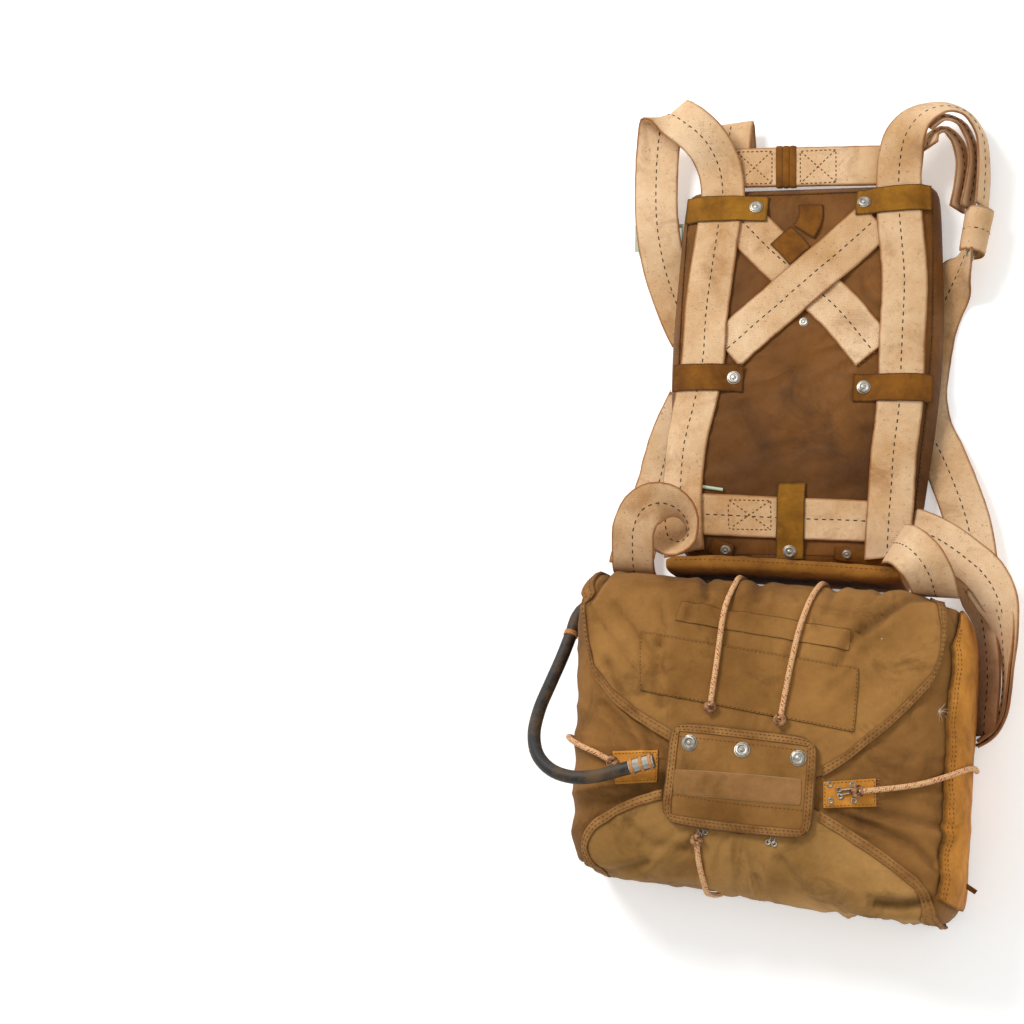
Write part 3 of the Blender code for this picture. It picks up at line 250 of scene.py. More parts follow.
def braidElastic():
    material, tree, shader = startMaterial("braidedElastic")
    cloth = addNode(tree, "ShaderNodeUVMap", uv_map="cloth").outputs[0]
    across, along, _ = addNode(tree, "ShaderNodeSeparateXYZ", {0: cloth}).outputs
    place = addNode(tree, "ShaderNodeTexCoord").outputs["Object"]
    turns = 2 * math.pi / elasticLook["braid"]
    ways = []
    for slope in (1.0, -1.0):
        slanted = addNode(tree, "ShaderNodeMath", {
            0: across, 1: slope, 2: along}, operation="MULTIPLY_ADD").outputs[0]
        phase = addNode(tree, "ShaderNodeMath", {
            0: slanted, 1: turns}, operation="MULTIPLY").outputs[0]
        ways.append(addNode(tree, "ShaderNodeMath", {0: phase}, operation="SINE").outputs[0])
    plait = addNode(tree, "ShaderNodeMath", {0: ways[0], 1: ways[1]}, operation="MULTIPLY").outputs[0]
    lit = addNode(tree, "ShaderNodeMapRange", {0: plait, 1: -1.0, 2: 1.0}).outputs[0]
    colour = addNode(tree, "ShaderNodeMix", {
        0: lit, 6: fromHex(elasticLook["dark"]), 7: fromHex(elasticLook["light"])},
        data_type="RGBA").outputs[2]
    flecks = addNode(tree, "ShaderNodeTexNoise", {
        "Vector": place, "Scale": 330.0, "Detail": 1.0}).outputs[0]
    strand = addNode(tree, "ShaderNodeMapRange", {0: ways[0], 1: 0.2, 2: 0.5}).outputs[0]
    tracer = addNode(tree, "ShaderNodeMapRange", {0: flecks, 1: 0.52, 2: 0.56}).outputs[0]
    red = addNode(tree, "ShaderNodeMath", {0: strand, 1: tracer}, operation="MULTIPLY").outputs[0]
    colour = addNode(tree, "ShaderNodeMix", {
        0: red, 6: colour, 7: fromHex(elasticLook["tracer"])}, data_type="RGBA").outputs[2]
    bump = addNode(tree, "ShaderNodeBump", {
        "Strength": 0.6, "Distance": 0.0006, "Height": plait}).outputs[0]
    tree.links.new(colour, shader.inputs["Base Color"])
    tree.links.new(bump, shader.inputs["Normal"])
    shader.inputs["Roughness"].default_value = 0.9
    return material


# Plain finishes: base tone, marks over it and how far they spread

plainFinishes = {
    # Extruded rubber hose: black, with dry dust in its bends
    "rubberHose": {"base": "#161512", "marks": "#5A4226", "spread": (0.46, 0.62), "scale": 26.0,
                   "roughness": 0.55, "metallic": 0.0, "bump": 0.15},
    # Stamped brass, nickel plated and dulled
    "dullNickel": {"base": "#B9B4A9", "marks": "#6E675A", "spread": (0.45, 0.7), "scale": 160.0,
                   "roughness": 0.4, "metallic": 1.0, "bump": 0.1},
    # Die-cut steel with pale green paint, chipped at its corners
    "paleGreenPaint": {"base": "#AEBBA0", "marks": "#6E6A52", "spread": (0.55, 0.68), "scale": 90.0,
                       "roughness": 0.5, "metallic": 0.0, "bump": 0.15},
    # Waxed cotton threads
    "darkThread": {"base": "#1E1B1C", "marks": "#4A4034", "spread": (0.5, 0.8), "scale": 400.0,
                   "roughness": 0.8, "metallic": 0.0, "bump": 0.1},
    "tanThread": {"base": "#6B4722", "marks": "#462B12", "spread": (0.45, 0.75), "scale": 300.0,
                  "roughness": 0.85, "metallic": 0.0, "bump": 0.1},
    "orangeThread": {"base": "#C58648", "marks": "#8A5424", "spread": (0.45, 0.75), "scale": 300.0,
                     "roughness": 0.8, "metallic": 0.0, "bump": 0.1},
    "frayedCotton": {"base": "#AE7E54", "marks": "#4A2418", "spread": (0.42, 0.62), "scale": 240.0,
                     "roughness": 0.95, "metallic": 0.0, "bump": 0.4},
    # Bleached thread of the scuffs on the pack
    "paleThread": {"base": "#D9CDB8", "marks": "#B8A98E", "spread": (0.4, 0.7), "scale": 200.0,
                   "roughness": 0.9, "metallic": 0.0, "bump": 0.1},
    # Matt paper-white floor
    "studioFloor": {"base": "#F6F6F4", "marks": "#F2F2F0", "spread": (0.3, 0.7), "scale": 2.0,
                    "roughness": 0.9, "metallic": 0.0, "bump": 0.0},
}


def plainFinish(name, look):
    material, tree, shader = startMaterial(name)
    place = addNode(tree, "ShaderNodeTexCoord").outputs["Object"]
    marks = addNode(tree, "ShaderNodeTexNoise", {
        "Vector": place, "Scale": look["scale"], "Detail": 6.0, "Roughness": 0.65}).outputs[0]
    low, high = look["spread"]
    marked = addNode(tree, "ShaderNodeMapRange", {0: marks, 1: low, 2: high}).outputs[0]
    colour = addNode(tree, "ShaderNodeMix", {
        0: marked, 6: fromHex(look["base"]), 7: fromHex(look["marks"])}, data_type="RGBA").outputs[2]
    dulled = addNode(tree, "ShaderNodeMapRange", {
        0: marked, 3: look["roughness"], 4: min(1.0, look["roughness"] + 0.2)}).outputs[0]
    bump = addNode(tree, "ShaderNodeBump", {
        "Strength": look["bump"], "Distance": 0.0005, "Height": marks}).outputs[0]
    tree.links.new(colour, shader.inputs["Base Color"])
    tree.links.new(dulled, shader.inputs["Roughness"])
    tree.links.new(bump, shader.inputs["Normal"])
    shader.inputs["Metallic"].default_value = look["metallic"]
    return material


materials = {name: weaveCotton(name, look) for name, look in cottons.items()}
materials |= {name: plainFinish(name, look) for name, look in plainFinishes.items()}
materials["braidedElastic"] = braidElastic()
print("materials made:", len(materials))

# Meshes


def buildPiece(name, points, faces, corners, edges, material, replaced=(), flatAngle=50.0):
    # A closed piece from points in the plan, with cloth coordinates at its face corners
    mesh = bpy.data.meshes.new(name)
    mesh.from_pydata([(Vector((p[0], p[1], max(p[2], 0.02))) + planShift) * mm for p in points],
                     [], faces)
    layer = mesh.uv_layers.new(name="cloth")
    for polygon, uvs in zip(mesh.polygons, corners):
        for loop, uv in zip(polygon.loop_indices, uvs):
            layer.data[loop].uv = (uv[0] * mm, uv[1] * mm)
    wear = mesh.attributes.new("edge", "FLOAT", "POINT")
    wear.data.foreach_set("value", edges)
    body = bmesh.new()
    body.from_mesh(mesh)
    bmesh.ops.recalc_face_normals(body, faces=body.faces[:])
    body.to_mesh(mesh)
    body.free()
    mesh.materials.append(materials[material])
    mesh.shade_smooth()
    mesh.set_sharp_from_angle(angle=math.radians(flatAngle))
    piece = bpy.data.objects.new(name, mesh)
    bpy.context.scene.collection.objects.link(piece)
    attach(piece, "root")
    if replaced:
        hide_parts(*replaced)
    return piece


def buildSlab(name, upper, lower, uvs, wear, material, replaced=(), flatAngle=50.0):
    # A closed sheet between two grids of points of the same size
    rows, columns = len(upper), len(upper[0])
    points = [p for row in upper for p in row] + [p for row in lower for p in row]
    under = rows * columns
    faces = []
    for i in range(rows - 1):
        for j in range(columns - 1):
            a, b = i * columns + j, i * columns + j + 1
            c, d = b + columns, a + columns
            faces.append((a, b, c, d))
            faces.append((under + d, under + c, under + b, under + a))
    rim = ([(0, j) for j in range(columns)] + [(i, columns - 1) for i in range(1, rows)]
           + [(rows - 1, j) for j in range(columns - 2, -1, -1)]
           + [(i, 0) for i in range(rows - 2, 0, -1)])
    for (i1, j1), (i2, j2) in zip(rim, rim[1:] + rim[:1]):
        a, b = i1 * columns + j1, i2 * columns + j2
        faces.append((b, a, under + a, under + b))
    flat = [uv for row in uvs for uv in row] * 2
    corners = [[flat[v] for v in face] for face in faces]
    edges = [w for row in wear for w in row] * 2
    return buildPiece(name, points, faces, corners, edges, material, replaced, flatAngle)


def buildTube(name, path, radius, sides, material, replaced=(), squash=1.0, swell=None):
    # A round cord along a path of points, closed at both ends
    line = [Vector(p) for p in path]
    along = [0.0]
    for one, two in zip(line, line[1:]):
        along.append(along[-1] + (two - one).length)
    ways = [(line[min(i + 1, len(line) - 1)] - line[max(i - 1, 0)]).normalized()
            for i in range(len(line))]
    side = ways[0].orthogonal().normalized()
    points = []
    for i, (middle, way) in enumerate(zip(line, ways)):
        side = (side - way * side.dot(way)).normalized()
        up = way.cross(side)
        r = radius * (swell(i / (len(line) - 1)) if swell else 1.0)
        for k in range(sides):
            angle = 2 * math.pi * k / sides
            points.append(middle + side * (r * math.cos(angle)) + up * (r * squash * math.sin(angle)))
    faces, corners = [], []
    girth = 2 * math.pi * radius
    for i in range(len(line) - 1):
        for k in range(sides):
            n = (k + 1) % sides
            faces.append((i * sides + k, i * sides + n, (i + 1) * sides + n, (i + 1) * sides + k))
            u0, u1 = girth * k / sides, girth * (k + 1) / sides
            corners.append([(u0, along[i]), (u1, along[i]), (u1, along[i + 1]), (u0, along[i + 1])])
    for ring in (0, len(line) - 1):
        faces.append(tuple(ring * sides + k for k in range(sides)))
        corners.append([(0.0, along[ring])] * sides)
    return buildPiece(name, points, faces, corners, [0.0] * len(points), material, replaced)


def readRows(rows, step):
    # Rows of a table joined by a smooth curve and read about every step millimetres
    points = np.array(rows, dtype=float)
    runs = np.linalg.norm(np.diff(points[:, :3], axis=0), axis=1)
    knots = np.concatenate([[0.0], np.cumsum(runs)])
    slopes = np.gradient(points, knots, axis=0)
    count = max(2, int(round(knots[-1] / step)) + 1)
    read = []
    for place in np.linspace(0.0, knots[-1], count):
        span = min(max(int(np.searchsorted(knots, place)) - 1, 0), len(knots) - 2)
        length = knots[span + 1] - knots[span]
        u = (place - knots[span]) / length
        read.append((2 * u**3 - 3 * u**2 + 1) * points[span]
                    + (u**3 - 2 * u**2 + u) * length * slopes[span]
                    + (-2 * u**3 + 3 * u**2) * points[span + 1]
                    + (u**3 - u**2) * length * slopes[span + 1])
    return np.array(read)


# Stitches are gathered by thread colour and sewn on at the end

seams = {"darkThread": [], "tanThread": [], "orangeThread": []}
stitchSizes = {"long": 4.6, "gap": 2.9, "wide": 1.35, "high": 0.8}


def stitchAlong(thread, path, faces, long=None, gap=None, wide=None, sink=0.1):
    # A row of stitches over a path of points, each with the surface's normal there
    long, gap = long or stitchSizes["long"], gap or stitchSizes["gap"]
    wide = wide or stitchSizes["wide"]
    line = [Vector(p) for p in path]
    along = [0.0]
    for one, two in zip(line, line[1:]):
        along.append(along[-1] + (two - one).length)

    def read(place):
        k = min(max(int(np.searchsorted(along, place)) - 1, 0), len(line) - 2)
        t = (place - along[k]) / max(along[k + 1] - along[k], 1e-6)
        return line[k].lerp(line[k + 1], t), Vector(faces[k]).lerp(Vector(faces[k + 1]), t)

    place = gap / 2
    while place + long < along[-1]:
        one, up = read(place)
        two, _ = read(place + long)
        way = (two - one).normalized()
        side = way.cross(up).normalized()
        seams[thread].append((one, two, side * (wide / 2), up.normalized(), sink))
        place += long + gap


def sewSeams():
    for thread, stitches in seams.items():
        points, faces = [], []
        high = stitchSizes["high"]
        for one, two, half, up, sink in stitches:
            base = len(points)
            ease = (two - one) * 0.16
            points += [one - up * sink, one + ease - half - up * sink, two - ease - half - up * sink,
                       two - up * sink, two - ease + half - up * sink, one + ease + half - up * sink,
                       one.lerp(two, 0.25) + up * (high - sink),
                       one.lerp(two, 0.75) + up * (high - sink)]
            faces += [tuple(base + k for k in face) for face in (
                (0, 1, 6), (1, 2, 7, 6), (2, 3, 7), (3, 4, 7), (4, 5, 6, 7), (5, 0, 6),
                (5, 4, 3, 2, 1, 0))]
        if not points:
            continue
        corners = [[(0.0, 0.0)] * len(face) for face in faces]
        buildPiece(thread + "Stitches", points, faces, corners, [0.0] * len(points), thread,
                   flatAngle=80.0)
        print("stitches of", thread + ":", len(stitches))

# The seat pack's surface, as the flaps, tapes and patches on it follow it

packShape = {
    "corners": [(-175.0, -61.0), (187.0, -96.0), (169.0, -388.0), (-184.0, -335.0)],
    "rounding": 11.0,
    "centre": (-14.0, -262.0),
    "crown": 6.0,
    "footClearance": 8.0,
    "innerEdge": 45.0,
    "wall": [(46.0, 116.5), (34.0, 114.6), (22.0, 110.0), (12.0, 102.0), (5.0, 91.0), (1.0, 78.0),
             (0.0, 60.0), (0.0, 38.0), (2.0, 20.0), (6.0, 8.0), (17.0, 0.0)],  # inset, height
    "billow": 2.9,     # slow swells of the filling
    "folds": 3.4,      # folds pulled towards the elastics
    "crumple": 0.8,   # small handling creases
}
# Creases pressed into the cloth: places seen from above, depth, half width
packCreases = [
    ([(103, -364), (124, -366), (147, -364)], 3.0, 4.5), ([(78, -376), (118, -379)], 2.2, 4.0),
    ([(112, -383), (150, -383)], 2.6, 3.5), ([(91, -283), (139, -295), (160, -300)], 1.7, 5.0),
    ([(65, -287), (107, -303), (138, -318), (168, -348)], 1.8, 4.5),
    ([(-172, -334), (-140, -337), (-103, -330)], 1.6, 3.5),
    ([(180, -96), (133, -98), (67, -145)], 2.4, 5.5),
    ([(-148, -64), (-157, -92)], 3.0, 4.0), ([(-134, -98), (-97, -150), (-60, -206)], 1.5, 3.5),
    ([(-150, -110), (-112, -163)], 1.2, 3.5), ([(-60, -62), (-52, -92)], 2.0, 5.0),
    ([(-10, -62), (-4, -96)], 1.6, 6.0), ([(68, -72), (60, -104)], 1.8, 6.0),
    ([(20, -330), (60, -372)], 1.2, 5.0), ([(-20, -322), (-30, -366)], 1.1, 6.0),
    ([(-142, -150), (-129, -181), (-105, -216), (-99, -236)], 1.6, 4.0),
    ([(-144, -190), (-113, -230)], 1.3, 4.0), ([(-93, -138), (-94, -164), (-90, -192)], 1.8, 5.0),
    ([(-94, -98), (-87, -122), (-90, -136)], 1.4, 4.5),
    ([(-66, -112), (-61, -100), (-50, -96)], 1.6, 4.0),
    ([(94, -121), (76, -146), (70, -160)], 1.8, 5.0), ([(80, -166), (60, -186)], 1.3, 4.5),
    ([(118, -176), (132, -192), (140, -214)], 1.0, 5.0), ([(-140, -262), (-112, -266)], 1.4, 4.5),
    ([(-140, -280), (-104, -271)], 1.1, 5.0), ([(104, -226), (136, -240)], 1.1, 5.5),
    ([(-30, -84), (-24, -112)], 1.0, 5.0), ([(112, -80), (96, -108)], 1.3, 5.0),
    ([(-120, -300), (-96, -318), (-60, -322)], 1.2, 5.0), ([(-84, -352), (-50, -356)], 1.2, 4.5),
]


def outlineReach(corners, centre, rounding, bearing):
    # How far a rounded outline lies from its centre, at a bearing in degrees
    along = (math.cos(math.radians(bearing)), math.sin(math.radians(bearing)))
    total = 0.0
    for (x1, y1), (x2, y2) in zip(corners, corners[1:] + corners[:1]):
        length = math.hypot(x2 - x1, y2 - y1)
        nx, ny = (y2 - y1) / length, -(x2 - x1) / length
        height = (x1 - centre[0]) * nx + (y1 - centre[1]) * ny
        if height < 0:
            nx, ny, height = -nx, -ny, -height
        total += (max(0.0, nx * along[0] + ny * along[1]) / height) ** rounding
    return total ** (-1.0 / rounding)


def bearingOf(x, y, centre):
    return math.degrees(math.atan2(y - centre[1], x - centre[0]))


def reachTable(corners, centre, rounding):
    return np.array([outlineReach(corners, centre, rounding, b / 2) for b in range(721)])


packReaches = reachTable(packShape["corners"], packShape["centre"], packShape["rounding"])
wallInsets = [row[0] for row in packShape["wall"]]
wallHeights = [row[1] for row in packShape["wall"]]
wallRuns = np.concatenate([[0.0], np.cumsum([
    math.hypot(b[0] - a[0], b[1] - a[1])
    for a, b in zip(packShape["wall"], packShape["wall"][1:])])])
rimInset = wallInsets[0]
wallEnd = float(np.interp(-packShape["footClearance"], [-z for z in wallHeights], wallRuns))


def readReach(table, bearing):
    place = (bearing % 360.0) * 2
    low = int(place)
    return table[low] + (table[low + 1] - table[low]) * (place - low)


def packReach(bearing):
    return float(readReach(packReaches, bearing))


def wallPlace(run):
    # Inset and height down the wall, on a smooth curve through the wall's table
    k = min(max(int(np.searchsorted(wallRuns, run)) - 1, 0), len(wallRuns) - 2)
    length = wallRuns[k + 1] - wallRuns[k]
    u = min(max((run - wallRuns[k]) / length, 0.0), 1.0)
    result = []
    for values in (wallInsets, wallHeights):
        slopes = [(values[min(i + 1, len(values) - 1)] - values[max(i - 1, 0)])
                  / (wallRuns[min(i + 1, len(values) - 1)] - wallRuns[max(i - 1, 0)])
                  for i in (k, k + 1)]
        result.append((2 * u**3 - 3 * u**2 + 1) * values[k] + (u**3 - 2 * u**2 + u) * length * slopes[0]
                      + (-2 * u**3 + 3 * u**2) * values[k + 1] + (u**3 - u**2) * length * slopes[1])
    return result


def packBare(bearing, run):
    reach = packReach(bearing)
    rim = reach - rimInset
    if run <= 0.0:
        r = max(rim + run, 0.0)
        z = wallHeights[0] + packShape["crown"] * (1.0 - (r / rim) ** 2)
    else:
        inset, z = wallPlace(run)
        r = reach - inset
    radians = math.radians(bearing)
    return Vector((packShape["centre"][0] + r * math.cos(radians),
                   packShape["centre"][1] + r * math.sin(radians), z))


def creaseDepth(x, y, line):
    # Distance from a place to a polyline, both seen from above
    nearest = 1e9
    for (x1, y1), (x2, y2) in zip(line, line[1:]):
        dx, dy = x2 - x1, y2 - y1
        t = min(max(((x - x1) * dx + (y - y1) * dy) / (dx * dx + dy * dy), 0.0), 1.0)
        nearest = min(nearest, math.hypot(x - x1 - t * dx, y - y1 - t * dy))
    return nearest


def creaseShade(x, y):
    # Painted shade in the folds, 0 to 1, darkened with the edge colour
    paintedShade = 0.0
    for line, depth, wide in packCreases:
        if abs(line[0][0] - x) < 90 and abs(line[0][1] - y) < 90:
            away = creaseDepth(x, y, line) / wide
            paintedShade = max(paintedShade, (0.63 + 0.08 * depth) * math.exp(-0.2 * away * away))
    return paintedShade


def packWrinkle(p):
    # How far the cloth stands off its plain shape
    x, y, z = p
    bearing = bearingOf(x, y, packShape["centre"])
    share = math.hypot(x - packShape["centre"][0], y - packShape["centre"][1]) / packReach(bearing)
    outer = min(max((share - 0.45) / 0.4, 0.0), 1.0)
    lower = min(max((95.0 - z) / 40.0, 0.0), 1.0)
    upper = min(max((y + 110.0) / 40.0, 0.0), 1.0)
    lift = packShape["billow"] * (1.0 - 0.5 * lower) * noise.noise(Vector((x / 62, y / 62, z / 48)))
    turned = Vector((math.cos(math.radians(bearing)), math.sin(math.radians(bearing)), 0.0)) * 7.5
    radial = turned + Vector((0.0, 0.0, share * 1.8 + z / 110))
    ridge = 1.0 - abs(noise.noise(radial)) * 2.6
    lift += (packShape["folds"] * (0.15 + 0.85 * outer) * (1.0 - 0.85 * lower) * (1.0 - 0.6 * upper)
             * (max(ridge, -0.4) - 0.35))
    lift += (packShape["crumple"] * (0.4 + outer) * (1.0 - 0.5 * lower)
             * noise.fractal(Vector((x, y, z)) / 26, 0.9, 2.1, 3))
    for line, depth, wide in packCreases:
        if abs(line[0][0] - x) > 90 or abs(line[0][1] - y) > 90:
            continue
        away = creaseDepth(x, y, line) / wide
        if away < 3.5:
            lift -= 1.9 * depth * (math.exp(-away * away) - 0.5 * math.exp(-(away - 1.7) ** 2))
    return lift


def packFrame(bearing, run):
    # A point on the wrinkled pack, and the way straight off it
    bare = packBare(bearing, run)
    across = packBare(bearing + 1.0, run) - packBare(bearing - 1.0, run)
    outward = packBare(bearing, run + 3.0) - packBare(bearing, run - 3.0)
    square = outward.cross(across)
    square = square.normalized() if square.length > 1e-6 else Vector((0.0, 0.0, 1.0))
    foot = min(max(bare.z / 14.0, 0.0), 1.0)
    return bare + square * (packWrinkle(bare) * foot), square


def faceFrame(x, y):
    # The same by the place seen from above, on the face or its shoulder
    bearing = bearingOf(x, y, packShape["centre"])
    r = math.hypot(x - packShape["centre"][0], y - packShape["centre"][1])
    run = r - (packReach(bearing) - rimInset)
    if run > 0.0:
        run = float(np.interp(rimInset - run, wallInsets[6::-1], wallRuns[6::-1]))
    return packFrame(bearing, run)


def readEdge(edge, way):
    return float(np.interp(way, [row[0] for row in edge], [row[1] for row in edge]))


def wayRun(bearing, way):
    if way < 0.0:
        return way * (packReach(bearing) - rimInset - packShape["innerEdge"])
    return way * wallEnd


# Slanted flap edges: way is -1 at the pin flap, 0 at the face's rim, 1 at the foot; then bearing
flapEdges = {
    "topLeft": [(-1.0, 151.0), (-0.68, 150.9), (-0.30, 150.2), (-0.05, 148.5), (0.10, 145.1),
                (0.15, 140.2), (0.20, 135.1), (0.25, 131.0), (0.45, 128.5), (1.0, 127.5)],
    "topRight": [(-1.0, 0.0), (-0.73, 4.7), (-0.37, 16.8), (-0.05, 24.1), (0.08, 27.4),
                 (0.13, 30.5), (0.17, 34.5), (0.23, 38.2), (0.33, 41.7), (0.5, 43.5), (1.0, 44.0)],
    "bottomLeft": [(-1.0, 184.0), (-0.57, 185.2), (-0.33, 187.4), (-0.08, 190.1), (0.09, 193.5),
                   (0.19, 197.7), (0.28, 203.4), (0.45, 206.5), (1.0, 207.5)],
    "bottomRight": [(-1.0, 342.0), (-0.75, 339.9), (-0.44, 336.1), (-0.115, 333.3),
                    (0.08, 331.5), (0.19, 328.7), (0.27, 326.5), (0.45, 325.5), (1.0, 325.0)],
}
lifts = {"side": (1.2, 2.7), "over": (2.9, 5.1), "tape": (5.3, 7.1), "label": (5.3, 6.8),
         "tab": (2.8, 4.6), "band": (5.2, 7.0), "pinFlap": (7.2, 10.4)}


def edgeWear(rows, columns, sides=(1, 1, 1, 1)):
    # 1 at a grid's edges, falling off inward; sides are first row, last row, first and last column
    wear = []
    for i in range(rows):
        row = []
        for j in range(columns):
            near = [i if sides[0] else 99, rows - 1 - i if sides[1] else 99,
                    j if sides[2] else 99, columns - 1 - j if sides[3] else 99]
            row.append(max(0.0, 1.0 - 0.34 * min(near)))
        wear.append(row)
    return wear


def frameSlab(name, frames, low, high, uvs, wear, material, replaced, rise=None):
    # A sheet between two lifts over a grid of points with their normals; edges rounded off
    rows, columns = len(frames), len(frames[0])
    upper, lower = [], []
    for i in range(rows):
        up, down = [], []
        for j in range(columns):
            point, square = frames[i][j]
            extra = rise[i][j] if rise else 0.0
            rim = i in (0, rows - 1) or j in (0, columns - 1)
            soft = (high - low) * (0.3 if rim else 0.0)
            up.append(point + square * (high + extra - soft))
            down.append(point + square * (low + extra * (0.0 if rise else 1.0)))
        upper.append(up)
        lower.append(down)
    piece = buildSlab(name, upper, lower, uvs, wear, material, replaced)
    normals = [[frame[1] for frame in row] for row in frames]
    return piece, upper, normals


def stitchColumn(thread, grid, normals, share, **sizes):
    # Stitches along a grid at a share of the way across it
    place = share * (len(grid[0]) - 1)
    j = min(int(place), len(grid[0]) - 2)
    t = place - j
    path = [row[j].lerp(row[j + 1], t) for row in grid]
    faces = [row[j].lerp(row[j + 1], t) for row in normals]
    stitchAlong(thread, path, faces, **sizes)


def crowded(first, last, count):
    return [first + (last - first) * (0.5 - 0.5 * math.cos(math.pi * k / (count - 1)))
            for k in range(count)]


flapGrid = {"inside": 36, "wall": 58, "columns": 100}


def makeFlap(name, node, rightEdge, leftEdge, spread, lift, material="cottonDuck"):
    ways = [*np.linspace(-1.0, 0.0, flapGrid["inside"])[:-1], *np.linspace(0.0, 1.0, flapGrid["wall"])]
    frames, uvs = [], []
    for way in ways:
        start = readEdge(flapEdges[rightEdge], way) - spread
        end = readEdge(flapEdges[leftEdge], way) + spread
        if end < start:
            end += 360.0
        row, uvRow = [], []
        for bearing in np.linspace(start, end, flapGrid["columns"]):
            run = wayRun(bearing, way)
            row.append(packFrame(bearing, run))
            radians = math.radians(bearing)
            out = packReach(bearing) - rimInset + run
            uvRow.append((out * math.cos(radians), out * math.sin(radians)))
        frames.append(row)
        uvs.append(uvRow)
    wear = edgeWear(len(ways), flapGrid["columns"])
    # The edge attribute: worn edges, with painted shade added along the creases
    for row, line in zip(wear, frames):
        row[:] = [max(value, creaseShade(point.x, point.y)) for value, (point, _) in zip(row, line)]
    low, high = lifts[lift]
    piece, _, _ = frameSlab(name, frames, low, high, uvs, wear, material, (node,))
    return piece


def makePackBody():
    bearings = np.linspace(0.0, 360.0, 160, endpoint=False)
    points, faces = [], []
    runs = [*np.linspace(wallRuns[-1], 0.0, 34)]
    rings = [[packFrame(b, run) for b in bearings] for run in runs]
    rings += [[packFrame(b, -(packReach(b) - rimInset) * inside) for b in bearings]
              for inside in (0.2, 0.4, 0.6, 0.8)]
    count = len(bearings)
    for k, ring in enumerate(rings):
        for point, square in ring:
            p = point - square * 2.2
            points.append((p.x, p.y, 0.0 if k == 0 else max(p.z, 0.0)))
    for i in range(len(rings) - 1):
        for j in range(count):
            n = (j + 1) % count
            faces.append((i * count + j, i * count + n, (i + 1) * count + n, (i + 1) * count + j))
    for start in (0, (len(rings) - 1) * count):
        points.append(tuple(sum(points[start + j][axis] for j in range(count)) / count
                            for axis in range(3)))
        faces += [(len(points) - 1, start + j, start + (j + 1) % count) for j in range(count)]
    corners = [[(points[v][0], points[v][1] + points[v][2]) for v in face] for face in faces]
    piece = buildPiece("packBody", points, faces, corners, [0.0] * len(points), "cottonDuck",
                       ("pack_body",))
    return piece


def makeFlapBinding(name, node, edge, inward, extra=0.0, first=-0.74):
    # Tape sewn round a flap's slanted edge with two rows of stitches
    ways = [*np.linspace(first, 0.0, 26)[:-1], *np.linspace(0.0, 1.0, 52)]
    frames, uvs, along, last = [], [], 0.0, None
    for way in ways:
        bearing = readEdge(flapEdges[edge], way)
        middle = packFrame(bearing, wayRun(bearing, way))[0]
        along += (middle - last).length if last else 0.0
        last = middle
        radius = math.hypot(middle.x - packShape["centre"][0], middle.y - packShape["centre"][1])
        turn = math.degrees(9.0 / radius) * inward
        pucker = 0.04 * noise.noise(Vector((along / 9, 2.0, 0.0)))
        shares = (-0.04 + pucker, 0.06, 0.28, 0.5, 0.72, 0.94, 1.03 + pucker)
        frames.append([packFrame(bearing + turn * s, wayRun(bearing + turn * s, way)) for s in shares])
        uvs.append([(9.0 * s, along) for s in shares])
    low, high = lifts["tape"]
    rise = [[0.35 * noise.noise(Vector((uv[1] / 8, uv[0] / 5, 4.0))) - 0.25 * (k in (2, 4))
             for k, uv in enumerate(row)] for row in uvs]
    rise = [[r + extra for r in row] for row in rise]
    _, grid, normals = frameSlab(name, frames, low, high, uvs, edgeWear(len(ways), 7, (1, 1, 1, 1)),
                                 "bindingTape", (node,), rise)
    for share in (0.33, 0.67):
        stitchColumn("tanThread", grid, normals, share, long=3.2, gap=1.3, wide=0.7)


def quadPlace(corners, u, v):
    (ax, ay), (bx, by), (cx, cy), (dx, dy) = corners
    top = (ax + (bx - ax) * u, ay + (by - ay) * u)
    bottom = (dx + (cx - dx) * u, dy + (cy - dy) * u)
    return top[0] + (bottom[0] - top[0]) * v, top[1] + (bottom[1] - top[1]) * v


def roundedShare(u, v, rounding):
    # Moves a patch's corners inward so that it has round ones
    a, b = 2 * u - 1, 2 * v - 1
    pull = 1.0 - rounding * (abs(a) * abs(b)) ** 8
    return 0.5 + a * pull / 2, 0.5 + b * pull / 2


def facePatch(name, replaced, corners, low, high, columns, rows, material, slot, bulge=0.0,
              rounding=0.0, window=(0.0, 1.0, 0.0, 1.0), wear=None):
    # A patch that follows the pack's face; window is the part of the corners' frame it fills
    wide, tall = math.dist(corners[0], corners[1]), math.dist(corners[0], corners[3])
    frames, uvs, rise = [], [], []
    for b in crowded(window[2], window[3], rows):
        row, uvRow, riseRow = [], [], []
        for a in crowded(window[0], window[1], columns):
            u, v = roundedShare(a, b, rounding)
            row.append(faceFrame(*quadPlace(corners, u, v)))
            uvRow.append((u * wide, v * tall))
            riseRow.append(bulge * math.sin(math.pi * min(max(u, 0), 1)) * math.sin(
                math.pi * min(max(v, 0), 1)) + 0.25 * noise.noise(Vector((u * wide, v * tall, low)) / 9))
        frames.append(row)
        uvs.append(uvRow)
        rise.append(riseRow)
    return frameSlab(name, frames, low, high, uvs, wear or edgeWear(rows, columns), material,
                     replaced, rise)


def stitchFrame(thread, grid, normals, inset, **sizes):
    # Stitches round a patch, a share of its size inside its edge
    rows, columns = len(grid), len(grid[0])
    i0, j0 = max(1, round(inset[1] * rows)), max(1, round(inset[0] * columns))
    i1, j1 = rows - 1 - i0, columns - 1 - j0
    loop = ([(i0, j) for j in range(j0, j1)] + [(i, j1) for i in range(i0, i1)]
            + [(i1, j) for j in range(j1, j0, -1)] + [(i, j0) for i in range(i1, i0 - 1, -1)])
    stitchAlong(thread, [grid[i][j] for i, j in loop], [normals[i][j] for i, j in loop], **sizes)


